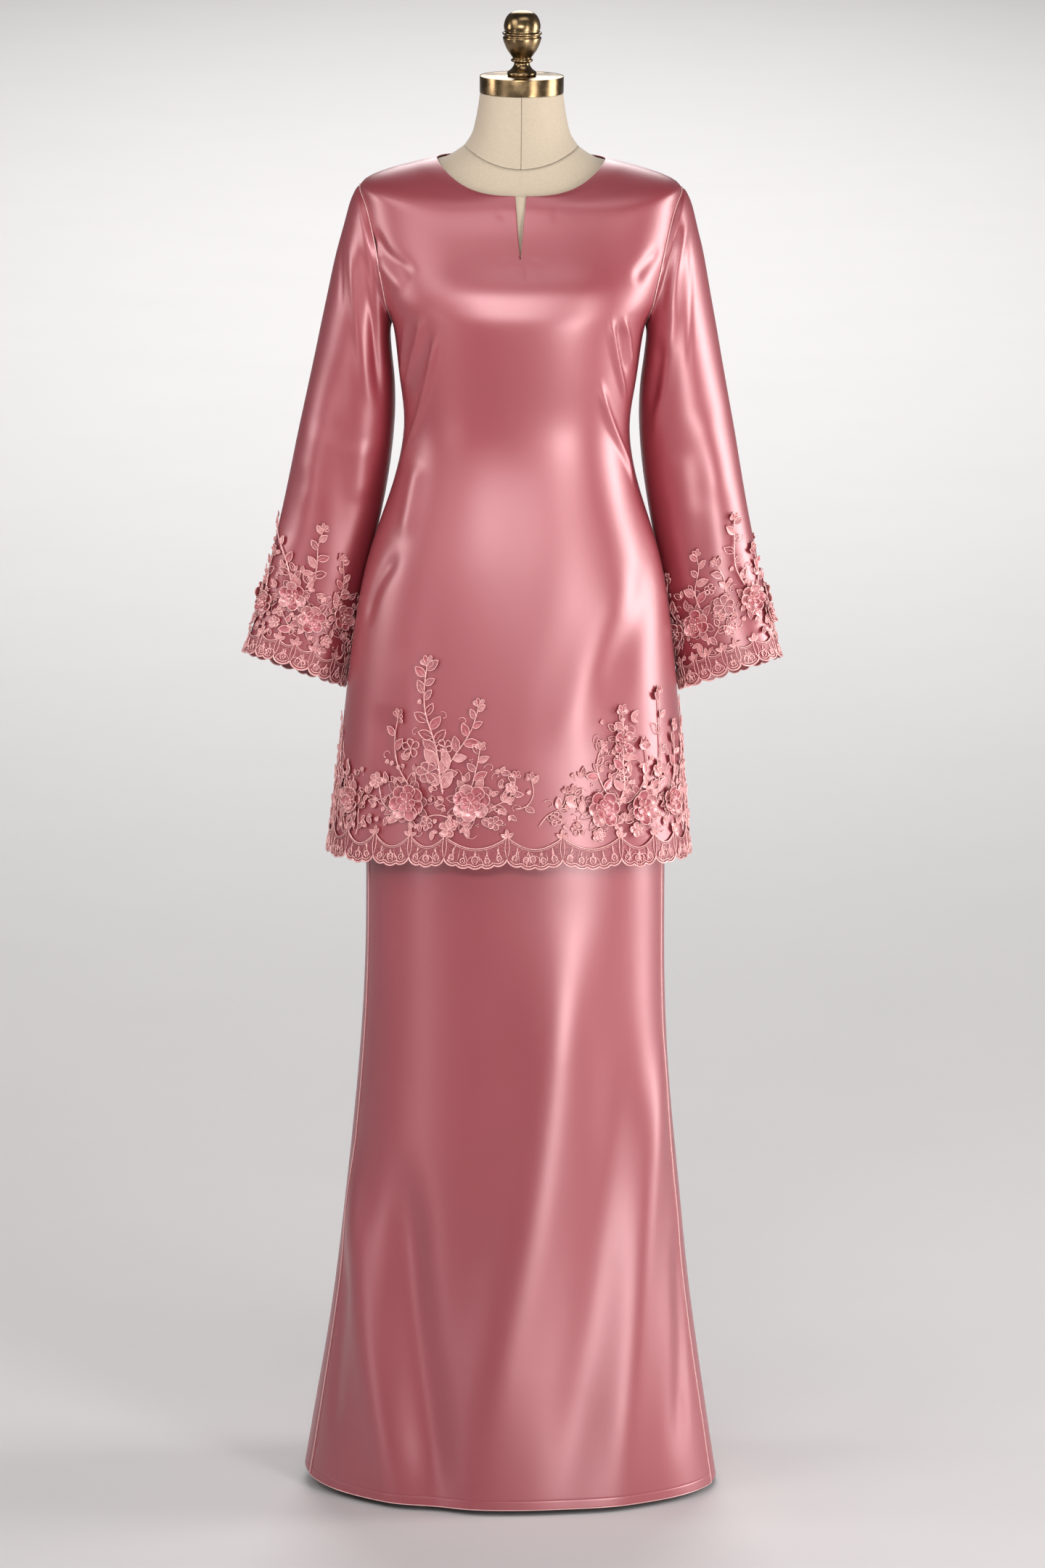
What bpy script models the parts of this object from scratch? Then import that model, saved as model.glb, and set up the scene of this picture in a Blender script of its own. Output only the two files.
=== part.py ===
"""A baju kurung, a long tunic with lace borders over a flared skirt, on a limbless dress form with a stand.

Metres, +Z up, the front towards -Y and +X to the viewer's right. The origin is on the floor under the
middle of the form. Cloth is a thin wall through rings whose sizes are in the tables below.
"""

import math
from collections import namedtuple

import bmesh
import bpy
import numpy as np

# ---------------------------------------------------------------- driving sizes

CLOTH_WALL = 0.0015
LACE_WALL = 0.0010
BAND_WALL = 0.0030
GAP = 0.0003
SLEEVE_GAP = 0.0006
LACE_LIFT = 0.0006
BAND_CLEARANCE = 0.0006
SHARP_ANGLE = math.radians(40)

UNDERARM_ROW = 8
SHOULDER_ROW = 14
NECKLINE_ROW = 18
ARMHOLE_LEAN = math.radians(13)

SLIT_WIDTH = 0.0125
SLIT_FOOT_ROW = 11

LACE_HEIGHT = 0.030
LACE_TOP_ROW = 0.30
COLUMNS_PER_SCALLOP = 4
HEM_SCALLOP_DEPTH = 0.009
CUFF_SCALLOP_DEPTH = 0.006
HEM_SCALLOPS = 8
CUFF_SCALLOPS = 10

SWING = -0.0075
SWING_START = 1.45

SKIRT_SEAM_ANGLE = math.radians(13)
HEM_LIFT = 0.012
HEM_LIFT_ANGLE = math.radians(195)
HEM_LIFT_WIDTH = math.radians(38)
HEM_LIFT_TOP = 0.30
SKIRT_TOP = 1.2300
BAND_BOTTOM = SKIRT_TOP + GAP
BAND_TOP = SKIRT_TOP + 0.027

CAP_RADIUS = 0.0475
CAP_BOTTOM = 1.6236
CAP_TOP = 1.6420
CAP_BEVEL = 0.0012
NECK_TOP = CAP_BOTTOM - GAP

POLE_RADIUS = 0.0125
POLE_FLANGE_RADIUS = 0.040
POLE_FLANGE_HEIGHT = 0.006
BASE_RADIUS = 0.140
BASE_HEIGHT = 0.016

FORM_SIDES = 40
SHOULDER_SLOPE_PARTS = (0.55, 0.85)

# ---------------------------------------------------------------- section tables

# A row of the tunic is one ring: how high it runs at the sides, front and back, and its half sizes.
# The higher its dip, the sooner the ring falls from its side height to its front and back heights.
TunicRow = namedtuple("TunicRow", "z_side z_front z_back half_width front back squareness dip")
TUNIC = (
    TunicRow(0.757, 0.767, 0.768, 0.2075, 0.1500, 0.1500, 2.10, 2.0),
    TunicRow(0.851, 0.859, 0.860, 0.1974, 0.1450, 0.1460, 2.12, 2.0),
    TunicRow(0.936, 0.942, 0.943, 0.1892, 0.1390, 0.1410, 2.16, 2.0),
    TunicRow(1.017, 1.021, 1.022, 0.1803, 0.1320, 0.1350, 2.20, 2.0),
    TunicRow(1.095, 1.097, 1.097, 0.1655, 0.1230, 0.1220, 2.25, 2.0),
    TunicRow(1.168, 1.168, 1.168, 0.1419, 0.1120, 0.0990, 2.30, 2.0),
    TunicRow(1.240, 1.240, 1.240, 0.1285, 0.1060, 0.0850, 2.35, 2.0),
    TunicRow(1.300, 1.302, 1.300, 0.1347, 0.1180, 0.0890, 2.40, 2.0),
    TunicRow(1.360, 1.362, 1.360, 0.1432, 0.1320, 0.0970, 2.45, 2.0),
    TunicRow(1.391, 1.392, 1.391, 0.1575, 0.1310, 0.1010, 2.45, 2.0),
    TunicRow(1.424, 1.420, 1.424, 0.1680, 0.1210, 0.1035, 2.42, 2.0),
    TunicRow(1.455, 1.446, 1.454, 0.1745, 0.1085, 0.1030, 2.40, 2.0),
    TunicRow(1.483, 1.468, 1.480, 0.1785, 0.0985, 0.0995, 2.36, 2.1),
    TunicRow(1.505, 1.484, 1.500, 0.1808, 0.0925, 0.0945, 2.32, 2.3),
    TunicRow(1.518, 1.495, 1.515, 0.1810, 0.0888, 0.0890, 2.28, 2.5),
    TunicRow(1.5275, 1.503, 1.526, 0.1690, 0.0860, 0.0825, 2.25, 2.7),
    TunicRow(1.5355, 1.508, 1.534, 0.1480, 0.0835, 0.0765, 2.22, 2.8),
    TunicRow(1.5425, 1.512, 1.541, 0.1220, 0.0812, 0.0710, 2.20, 2.9),
    TunicRow(1.5490, 1.516, 1.548, 0.0950, 0.0790, 0.0665, 2.20, 3.0),
)

# Half the angle that the armhole takes out of each ring, in degrees, from the underarm to the shoulder.
ArmholeRow = namedtuple("ArmholeRow", "row front back")
ARMHOLE = (
    ArmholeRow(8, 0.0, 0.0),
    ArmholeRow(9, 18.5, 24.0),
    ArmholeRow(10, 22.5, 28.5),
    ArmholeRow(11, 22.5, 28.0),
    ArmholeRow(12, 19.5, 24.0),
    ArmholeRow(13, 12.5, 15.0),
    ArmholeRow(14, 0.0, 0.0),
)

# A row of the sleeve runs from a point on its outer edge to one on its inner edge.
SleeveRow = namedtuple("SleeveRow", "outer_x outer_z inner_x inner_z centre_y front back tilt")
SLEEVE = (
    SleeveRow(0.1873, 1.5120, 0.1452, 1.3520, 0.001, 0.052, 0.055, 0.00),
    SleeveRow(0.1940, 1.4960, 0.1452, 1.3440, 0.004, 0.054, 0.056, 0.00),
    SleeveRow(0.2005, 1.4700, 0.1444, 1.3330, 0.007, 0.055, 0.056, 0.00),
    SleeveRow(0.2085, 1.4380, 0.1428, 1.3170, 0.011, 0.056, 0.056, 0.00),
    SleeveRow(0.2170, 1.3960, 0.1405, 1.2960, 0.015, 0.056, 0.055, 0.00),
    SleeveRow(0.2256, 1.3530, 0.1392, 1.2710, 0.019, 0.055, 0.054, 0.00),
    SleeveRow(0.2339, 1.3090, 0.1397, 1.2410, 0.023, 0.054, 0.053, 0.00),
    SleeveRow(0.2465, 1.2440, 0.1440, 1.1930, 0.028, 0.052, 0.052, 0.00),
    SleeveRow(0.2592, 1.1790, 0.1540, 1.1340, 0.032, 0.050, 0.050, 0.03),
    SleeveRow(0.2722, 1.1140, 0.1668, 1.0730, 0.036, 0.049, 0.049, 0.07),
    SleeveRow(0.2862, 1.0500, 0.1772, 1.0110, 0.040, 0.048, 0.048, 0.13),
    SleeveRow(0.2990, 1.0010, 0.1862, 0.9620, 0.042, 0.048, 0.048, 0.19),
    SleeveRow(0.3080, 0.9730, 0.1930, 0.9340, 0.043, 0.048, 0.048, 0.24),
)

# A row of the skirt is one ring.
SkirtRow = namedtuple("SkirtRow", "z half_width front back squareness")
SKIRT = (
    SkirtRow(0.0070, 0.2400, 0.1600, 0.1620, 2.00),
    SkirtRow(0.0749, 0.2292, 0.1555, 0.1570, 2.00),
    SkirtRow(0.1500, 0.2175, 0.1500, 0.1510, 2.02),
    SkirtRow(0.2300, 0.2065, 0.1440, 0.1450, 2.04),
    SkirtRow(0.3200, 0.1958, 0.1375, 0.1390, 2.07),
    SkirtRow(0.4200, 0.1855, 0.1310, 0.1335, 2.10),
    SkirtRow(0.5200, 0.1772, 0.1258, 0.1290, 2.14),
    SkirtRow(0.6200, 0.1725, 0.1225, 0.1262, 2.18),
    SkirtRow(0.7200, 0.1715, 0.1210, 0.1255, 2.22),
    SkirtRow(0.8200, 0.1715, 0.1205, 0.1260, 2.25),
    SkirtRow(0.9200, 0.1712, 0.1195, 0.1265, 2.27),
    SkirtRow(1.0200, 0.1665, 0.1165, 0.1240, 2.28),
    SkirtRow(1.1000, 0.1530, 0.1085, 0.1110, 2.28),
    SkirtRow(1.1700, 0.1290, 0.0980, 0.0895, 2.28),
    SkirtRow(SKIRT_TOP, 0.1153, 0.0916, 0.0746, 2.28),
)

# A flute is a soft ridge (height over 0) or trough that leans from its angle at the hem to the one at its
# top. Angles run from the side at +X, through the front at 90 degrees, in degrees.
Flute = namedtuple("Flute", "hem_angle top_angle half_width height top")
FLUTES = (
    Flute(118, 148, 13, 0.0050, 0.56),
    Flute(98, 62, 14, 0.0060, 0.62),
    Flute(62, 40, 12, 0.0055, 0.58),
    Flute(108, 133, 14, -0.0050, 0.72),
    Flute(78, 48, 14, -0.0050, 0.70),
    Flute(238, 222, 14, 0.0055, 0.60),
    Flute(285, 296, 14, 0.0055, 0.64),
    Flute(262, 258, 14, -0.0045, 0.58),
    Flute(318, 322, 12, -0.0045, 0.55),
)

# The linen form under the cloth: the same columns as the skirt, up to the row where the tunic takes over.
FORM = (
    SkirtRow(0.9300, 0.1560, 0.1040, 0.1120, 2.25),
    SkirtRow(0.9800, 0.1630, 0.1110, 0.1190, 2.26),
    SkirtRow(1.0300, 0.1608, 0.1120, 0.1190, 2.28),
    SkirtRow(1.1000, 0.1480, 0.1045, 0.1060, 2.28),
    SkirtRow(1.1700, 0.1240, 0.0935, 0.0850, 2.28),
    SkirtRow(1.2430, 0.1110, 0.0880, 0.0700, 2.28),
    SkirtRow(1.3000, 0.1240, 0.1060, 0.0800, 2.36),
)

# Heights of the form's rings below the bust.
FORM_HEIGHTS = (0.93, 0.955, 0.98, 1.03, 1.065, 1.10, 1.135, 1.17, 1.205, BAND_BOTTOM, BAND_TOP, 1.28, 1.31)

# How far the form stays inside the tunic at each of the tunic's upper rows.
ClearanceRow = namedtuple("ClearanceRow", "row clearance")
CLEARANCES = (
    ClearanceRow(8, 0.0026),
    ClearanceRow(9, 0.0038),
    ClearanceRow(11, 0.0034),
    ClearanceRow(13, 0.0032),
    ClearanceRow(15, 0.0016),
    ClearanceRow(18, 0.0010),
)

# The linen neck, from the neck-base seam up.
NeckRow = namedtuple("NeckRow", "z_side z_front z_back half_width front back squareness dip")
NECK = (
    NeckRow(1.5636, 1.5440, 1.5680, 0.0640, 0.0625, 0.0570, 2.0, 2.0),
    NeckRow(1.5760, 1.5620, 1.5780, 0.0562, 0.0560, 0.0535, 2.0, 2.0),
    NeckRow(1.5900, 1.5820, 1.5910, 0.0522, 0.0518, 0.0510, 2.0, 2.0),
    NeckRow(1.6060, 1.6040, 1.6060, 0.0492, 0.0490, 0.0488, 2.0, 2.0),
    NeckRow(NECK_TOP, NECK_TOP, NECK_TOP, 0.0470, 0.0470, 0.0470, 2.0, 2.0),
)

# Turned profiles, from the bottom up: radius, height.
FINIAL = (
    (0.0158, 0.0000),
    (0.0165, 0.0018),
    (0.0160, 0.0045),
    (0.0118, 0.0080),
    (0.0092, 0.0120),
    (0.0090, 0.0150),
    (0.0120, 0.0165),
    (0.0122, 0.0185),
    (0.0105, 0.0200),
    (0.0132, 0.0240),
    (0.0172, 0.0300),
    (0.0205, 0.0375),
    (0.0218, 0.0430),
    (0.0206, 0.0445),
    (0.0206, 0.0460),
    (0.0222, 0.0472),
    (0.0222, 0.0490),
    (0.0200, 0.0502),
    (0.0207, 0.0540),
    (0.0204, 0.0590),
    (0.0185, 0.0650),
    (0.0150, 0.0697),
    (0.0100, 0.0725),
    (0.0050, 0.0736),
)
BASE = (
    (BASE_RADIUS - 0.003, 0.0000),
    (BASE_RADIUS, 0.0030),
    (BASE_RADIUS, 0.0100),
    (BASE_RADIUS - 0.006, BASE_HEIGHT),
    (0.0300, BASE_HEIGHT + 0.003),
    (0.0240, BASE_HEIGHT + 0.012),
    (0.0200, BASE_HEIGHT + 0.030),
)

# ---------------------------------------------------------------- materials

# Base colour, metallic, roughness.
MATERIALS = {
    "satin": ((0.55, 0.20, 0.23), 0.0, 0.32),
    "lace": ((0.62, 0.27, 0.30), 0.0, 0.55),
    "linen": ((0.75, 0.66, 0.55), 0.0, 0.85),
    "elastic": ((0.50, 0.19, 0.22), 0.0, 0.70),
    "brass": ((0.45, 0.33, 0.17), 1.0, 0.32),
    "steel": ((0.25, 0.25, 0.26), 1.0, 0.45),
    "iron": ((0.05, 0.05, 0.055), 0.6, 0.50),
}


def material(name):
    """The named Principled material, made once."""
    if name in bpy.data.materials:
        return bpy.data.materials[name]
    colour, metallic, roughness = MATERIALS[name]
    made = bpy.data.materials.new(name)
    made.use_nodes = True
    shader = made.node_tree.nodes["Principled BSDF"]
    shader.inputs["Base Color"].default_value = (*colour, 1.0)
    shader.inputs["Metallic"].default_value = metallic
    shader.inputs["Roughness"].default_value = roughness
    return made


# ---------------------------------------------------------------- smooth tables


def spline_slopes(at, values):
    """Slopes of the smoothest cubic through the values, with free ends."""
    count = len(at)
    step = np.diff(at)
    rise = np.diff(values) / step
    system = np.zeros((count, count))
    right = np.zeros(count)
    system[0, :2] = 2, 1
    system[-1, -2:] = 1, 2
    right[0] = 3 * rise[0]
    right[-1] = 3 * rise[-1]
    for i in range(1, count - 1):
        system[i, i - 1] = step[i]
        system[i, i] = 2 * (step[i - 1] + step[i])
        system[i, i + 1] = step[i - 1]
        right[i] = 3 * (step[i] * rise[i - 1] + step[i - 1] * rise[i])
    return np.linalg.solve(system, right)


def spline(at, values):
    """A function through the values, which runs on straight past its ends."""
    at = np.asarray(at, float)
    values = np.asarray(values, float)
    slopes = spline_slopes(at, values)

    def value(x):
        x = np.asarray(x, float)
        i = np.clip(np.searchsorted(at, x) - 1, 0, len(at) - 2)
        width = at[i + 1] - at[i]
        t = np.clip((x - at[i]) / width, 0, 1)
        inside = (
            (1 + 2 * t) * (1 - t) ** 2 * values[i]
            + t * (1 - t) ** 2 * width * slopes[i]
            + t * t * (3 - 2 * t) * values[i + 1]
            + t * t * (t - 1) * width * slopes[i + 1]
        )
        before = np.minimum(x - at[0], 0) * slopes[0]
        after = np.maximum(x - at[-1], 0) * slopes[-1]
        return inside + before + after

    return value


def table_splines(rows, keys):
    """One spline for each column of a table, by column name."""
    return {name: spline(keys, [getattr(row, name) for row in rows]) for name in rows[0]._fields}


def smooth_step(x, start, end):
    t = np.clip((x - start) / (end - start), 0, 1)
    return t * t * (3 - 2 * t)


# ---------------------------------------------------------------- surfaces


def signed_power(value, exponent):
    return np.sign(value) * np.abs(value) ** exponent


def ring(columns, key, angle):
    """Points of a ring table. The angle runs from +X through the front, -Y, in radians."""
    exponent = 2 / columns["squareness"](key)
    across = signed_power(np.cos(angle), exponent)
    along = signed_power(np.sin(angle), exponent)
    depth = np.where(along > 0, columns["front"](key), columns["back"](key))
    if "z" in columns:
        z = columns["z"](key) + 0 * angle
    else:
        middle = np.where(along > 0, columns["z_front"](key), columns["z_back"](key))
        z = middle + (columns["z_side"](key) - middle) * np.abs(np.cos(angle)) ** columns["dip"](key)
    return np.stack([columns["half_width"](key) * across, -depth * along, z], axis=-1)


TUNIC_COLUMNS = table_splines(TUNIC, range(len(TUNIC)))
SKIRT_COLUMNS = table_splines(SKIRT, [row.z for row in SKIRT])
FORM_COLUMNS = table_splines(FORM, [row.z for row in FORM])
NECK_COLUMNS = table_splines(NECK, range(len(NECK)))
SLEEVE_COLUMNS = table_splines(SLEEVE, range(1, len(SLEEVE) + 1))
ARMHOLE_COLUMNS = table_splines(ARMHOLE, [row.row for row in ARMHOLE])


def swung(points):
    """The points moved to where the tunic and sleeves hang, a touch to one side below the chest."""
    moved = points.copy()
    drop = np.clip((SWING_START - points[..., 2]) / (SWING_START - TUNIC[0].z_side), 0, 1)
    moved[..., 0] += SWING * drop
    return moved


def tunic_surface(row, angle):
    return ring(TUNIC_COLUMNS, row, angle)


def flute_height(z, angle):
    """How far the skirt's flutes move it outward."""
    total = np.zeros_like(angle)
    for flute in FLUTES:
        up = np.clip(z / flute.top, 0, 1)
        middle = np.radians(flute.hem_angle + (flute.top_angle - flute.hem_angle) * up)
        away = (angle - middle + math.pi) % (2 * math.pi) - math.pi
        profile = np.exp(-((away / np.radians(flute.half_width)) ** 2))
        total += flute.height * (1 - smooth_step(z, 0.25 * flute.top, flute.top)) * profile
    return total


def skirt_surface(z, angle):
    points = ring(SKIRT_COLUMNS, z, angle)
    outward = np.stack([np.cos(angle), -np.sin(angle), np.zeros_like(angle)], axis=-1)
    points += outward * flute_height(z, angle)[..., None]
    away = (angle - HEM_LIFT_ANGLE + math.pi) % (2 * math.pi) - math.pi
    near = np.exp(-((away / HEM_LIFT_WIDTH) ** 2))
    points[..., 2] += HEM_LIFT * near * np.clip(1 - z / HEM_LIFT_TOP, 0, 1) ** 2
    return points


def sleeve_surface(row, angle):
    """Points of the right sleeve's rings. The angle runs from its outer edge through the front."""
    get = {name: column(row) for name, column in SLEEVE_COLUMNS.items()}
    across = (np.cos(angle) + 1) / 2
    depth = np.where(np.sin(angle) > 0, get["front"], get["back"]) * np.sin(angle)
    return np.stack(
        [
            get["inner_x"] + (get["outer_x"] - get["inner_x"]) * across,
            get["centre_y"] - depth,
            get["inner_z"] + (get["outer_z"] - get["inner_z"]) * across + get["tilt"] * depth,
        ],
        axis=-1,
    )


def normals(surface, row, angle):
    """Unit normals of a surface, pointing out."""
    step = 1e-4
    up = surface(row + step, angle) - surface(row - step, angle)
    around = surface(row, angle + step) - surface(row, angle - step)
    normal = np.cross(up, around)
    return normal / np.linalg.norm(normal, axis=-1, keepdims=True)


def grid_normals(points):
    """Unit normals of a grid whose rows go up and whose columns close a ring."""
    up = np.gradient(points, axis=0)
    around = np.roll(points, -1, axis=1) - np.roll(points, 1, axis=1)
    normal = np.cross(up, around)
    return normal / np.linalg.norm(normal, axis=-1, keepdims=True)


# ---------------------------------------------------------------- meshes


def wall_object(name, patches, material_name):
    """One closed wall. A patch is a matching outer and inner grid, and rims close its free edges."""
    mesh = bmesh.new()
    made = {}

    def corner(outer, inner):
        key = tuple(np.round(outer, 6))
        if key not in made:
            made[key] = (mesh.verts.new(outer), mesh.verts.new(inner))
        return made[key]

    edges = {}
    for outer, inner in patches:
        rows, columns = outer.shape[:2]
        pairs = [[corner(outer[r, c], inner[r, c]) for c in range(columns)] for r in range(rows)]
        for r in range(rows - 1):
            for c in range(columns - 1):
                cell = [pairs[r][c], pairs[r][c + 1], pairs[r + 1][c + 1], pairs[r + 1][c]]
                cell = [pair for i, pair in enumerate(cell) if pair is not cell[i - 1]]
                if len(cell) < 3:
                    continue
                mesh.faces.new([pair[0] for pair in cell])
                mesh.faces.new([pair[1] for pair in reversed(cell)])
                for first, second in zip(cell, cell[1:] + cell[:1]):
                    edges.setdefault(frozenset((id(first), id(second))), []).append((first, second))
    for uses in edges.values():
        if len(uses) == 1:
            first, second = uses[0]
            mesh.faces.new([second[0], first[0], first[1], second[1]])
    return finished(name, mesh, material_name)


def ring_object(name, rings, material_name):
    """A solid through closed rings of equal length, from the bottom up, with its ends filled."""
    mesh = bmesh.new()
    loops = [[mesh.verts.new(point) for point in points] for points in rings]
    for lower, upper in zip(loops, loops[1:]):
        for c in range(len(lower)):
            mesh.faces.new([lower[c - 1], lower[c], upper[c], upper[c - 1]])
    for loop, points in ((loops[0], rings[0]), (loops[-1], rings[-1])):
        middle = mesh.verts.new(np.mean(points, axis=0))
        for c in range(len(loop)):
            mesh.faces.new([loop[c - 1], loop[c], middle])
    return finished(name, mesh, material_name)


def turned_object(name, profile, height, material_name, sides):
    """A turned solid: a profile of radii and heights, from the bottom up, about the Z axis."""
    turns = np.linspace(0, 2 * math.pi, sides, endpoint=False)
    rings = [
        np.stack([r * np.cos(turns), r * np.sin(turns), np.full(sides, height + z)], axis=-1)
        for r, z in profile
    ]
    return ring_object(name, rings, material_name)


def finished(name, mesh, material_name):
    """The mesh as a smooth-shaded object, its faces turned outward."""
    bmesh.ops.recalc_face_normals(mesh, faces=mesh.faces)
    data = bpy.data.meshes.new(name)
    mesh.to_mesh(data)
    mesh.free()
    data.shade_smooth()
    data.set_sharp_from_angle(angle=SHARP_ANGLE)
    data.materials.append(material(material_name))
    made = bpy.data.objects.new(name, data)
    bpy.context.scene.collection.objects.link(made)
    return made


# ---------------------------------------------------------------- tunic

UNDERARM_INDEX = 9
ARMHOLE_CELLS = 12
PANEL_COLUMNS = 16
TUNIC_ROWS = np.concatenate(
    [
        np.linspace(0, UNDERARM_ROW, UNDERARM_INDEX + 1),
        np.linspace(UNDERARM_ROW, SHOULDER_ROW, ARMHOLE_CELLS + 1)[1:],
        np.arange(SHOULDER_ROW + 1, NECKLINE_ROW + 1),
    ]
)


def armhole_angle(row, side):
    """Half the angle that the armhole takes from one side panel's edge, in radians."""
    inside = (row > UNDERARM_ROW) & (row < SHOULDER_ROW)
    return np.where(inside, np.radians(ARMHOLE_COLUMNS[side](row)), 0.0)


def panel_grid(side, rows, columns):
    """Rows and angles over the front or back panel, from its +X edge to its -X edge."""
    edge = armhole_angle(rows, side)[:, None]
    part = np.linspace(0, 1, columns + 1)[None, :]
    angle = edge + (math.pi - 2 * edge) * part
    if side == "back":
        angle = 2 * math.pi - angle
    return rows[:, None] + 0 * angle, angle


def seam_shift(side):
    """The move that takes a panel half a gap off the side seams."""
    return np.array([0, -GAP / 2 if side == "front" else GAP / 2, 0])


def tunic_panel_points(side):
    """Outer and inner points of a tunic panel."""
    row, angle = panel_grid(side, TUNIC_ROWS, PANEL_COLUMNS)
    outer = tunic_surface(row, angle) + seam_shift(side)
    return outer, outer - CLOTH_WALL * normals(tunic_surface, row, angle)


def opened_slit(outer, inner):
    """Two half panels, parted above the foot of the slit by a notch that tapers down to it."""
    middle = PANEL_COLUMNS // 2
    foot = outer[TUNIC_ROWS == SLIT_FOOT_ROW, middle, 2]
    rise = (outer[:, middle, 2] - foot) / (outer[-1, middle, 2] - foot)
    opening = np.clip(rise, 0, 1) * SLIT_WIDTH / 2
    halves = []
    for columns, way in ((slice(0, middle + 1), 1), (slice(middle, None), -1)):
        half_outer = outer[:, columns].copy()
        half_inner = inner[:, columns].copy()
        edge = -1 if way > 0 else 0
        half_outer[:, edge, 0] = way * opening
        half_inner[:, edge, 0] = way * opening
        halves.append((half_outer, half_inner))
    return halves


def make_tunic():
    front = tunic_panel_points("front")
    back = tunic_panel_points("back")
    wall_object("tunic_front", [map(swung, half) for half in opened_slit(*front)], "satin")
    wall_object("tunic_back", [map(swung, back)], "satin")
    return front, back


# ---------------------------------------------------------------- sleeves

SLEEVE_CUFF = len(SLEEVE)
SLEEVE_ROWS = np.array([1, 2.2, 3.5, 5, 6.5, 8, 9, 10, 11, 12, SLEEVE_CUFF])


def armhole_loop(front, back):
    """The right armhole, from the shoulder down the front to the underarm and up the back."""
    armhole = slice(UNDERARM_INDEX, UNDERARM_INDEX + ARMHOLE_CELLS + 1)
    down = front[armhole, 0][::-1]
    up = back[armhole, 0]
    loop = np.concatenate([down, up[1:-1]])
    loop[0, 1] = loop[len(down) - 1, 1] = 0
    return loop


def sleeve_points(front, back):
    """Outer and inner grids of the right sleeve, from its cuff up to a gap outside its armhole."""
    loop = armhole_loop(front[0], back[0])
    count = len(loop)
    half = count // 2
    drop = (loop[0, 2] - loop[:, 2]) / (loop[0, 2] - loop[half, 2])
    angle = np.arccos(np.clip(1 - 2 * drop, -1, 1))
    angle[half + 1 :] = 2 * math.pi - angle[half + 1 :]
    away = np.array([math.cos(ARMHOLE_LEAN), 0, -math.sin(ARMHOLE_LEAN)])
    lower = sleeve_surface(*np.meshgrid(SLEEVE_ROWS, angle, indexing="ij"))
    outer = np.concatenate([(loop + SLEEVE_GAP * away)[None], lower])[::-1]
    inner = outer - CLOTH_WALL * grid_normals(outer)
    return close_round(outer), close_round(inner)


def close_round(grid):
    return np.concatenate([grid, grid[:, :1]], axis=1)


def mirrored(points):
    return points * np.array([-1, 1, 1])


def make_sleeves(front, back):
    outer, inner = sleeve_points(front, back)
    wall_object("sleeve_right", [(swung(outer), swung(inner))], "satin")
    wall_object("sleeve_left", [(swung(mirrored(outer)), swung(mirrored(inner)))], "satin")


# ---------------------------------------------------------------- skirt

SKIRT_ROWS = np.concatenate([np.linspace(SKIRT[0].z, 0.70, 10), np.linspace(0.80, SKIRT_TOP, 7)])
SKIRT_PANEL_COLUMNS = 16


def skirt_panel(start, end):
    """Outer and inner grids of a skirt panel between two angles, half a seam gap inside each."""
    angles = np.linspace(start, end, SKIRT_PANEL_COLUMNS + 1)
    z, angle = np.meshgrid(SKIRT_ROWS, angles, indexing="ij")
    outer = skirt_surface(z, angle)
    inner = outer - CLOTH_WALL * normals(skirt_surface, z, angle)
    for column, way in ((0, 1), (-1, -1)):
        along = outer[:, column + way] - outer[:, column]
        along /= np.linalg.norm(along, axis=-1, keepdims=True)
        outer[:, column] += along * GAP / 2
        inner[:, column] += along * GAP / 2
    return outer, inner


def make_skirt():
    seam = SKIRT_SEAM_ANGLE
    wall_object("skirt_front", [skirt_panel(seam, math.pi - seam)], "satin")
    wall_object("skirt_back", [skirt_panel(math.pi - seam, 2 * math.pi + seam)], "satin")


def make_waistband():
    z, angle = np.meshgrid([BAND_BOTTOM, BAND_TOP], form_angles(), indexing="ij")
    outward = normals(form_surface, z, angle)
    inner = form_surface(z, angle) + outward * BAND_CLEARANCE
    outer = inner + outward * BAND_WALL
    inner[..., 2] = outer[..., 2] = z
    wall_object("skirt_waistband", [(close_round(outer), close_round(inner))], "elastic")


# ---------------------------------------------------------------- lace


def scallop(part, count, depth):
    """How far a scalloped edge hangs at a part of its length: arcs that meet in points."""
    phase = (part * count) % 1.0
    return depth * np.sqrt(np.clip(1 - (2 * phase - 1) ** 2, 0, 1))


def lace_over(lower, upper, normal, count, depth):
    """A lace band laid on a hem: its outer and inner grids, from its scalloped edge up."""
    along = upper - lower
    along /= np.linalg.norm(along, axis=-1, keepdims=True)
    hang = scallop(np.linspace(0, 1, len(lower)), count, depth)
    rows = [lower - along * hang[:, None], lower, lower + along * LACE_HEIGHT]
    base = np.stack(rows) + (LACE_LIFT * normal)[None]
    return base + LACE_WALL * normal, base


def hem_lace(side):
    """The tunic's lace on one panel, made from the panel's own lowest points and moved out."""
    row, angle = panel_grid(side, np.array([0, LACE_TOP_ROW]), HEM_SCALLOPS * COLUMNS_PER_SCALLOP)
    lower, upper = tunic_surface(row, angle) + seam_shift(side)
    return lace_over(lower, upper, normals(tunic_surface, row, angle)[0], HEM_SCALLOPS, HEM_SCALLOP_DEPTH)


def cuff_lace():
    """The right cuff's lace, made from the sleeve's own lowest points and moved out."""
    angle = np.linspace(0, 2 * math.pi, CUFF_SCALLOPS * COLUMNS_PER_SCALLOP + 1)
    lower = sleeve_surface(SLEEVE_CUFF + 0 * angle, angle)
    upper = sleeve_surface(SLEEVE_CUFF - 1 + 0 * angle, angle)
    inward = normals(sleeve_surface, SLEEVE_CUFF + 0 * angle, angle)
    return lace_over(lower, upper, -inward, CUFF_SCALLOPS, CUFF_SCALLOP_DEPTH)


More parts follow.
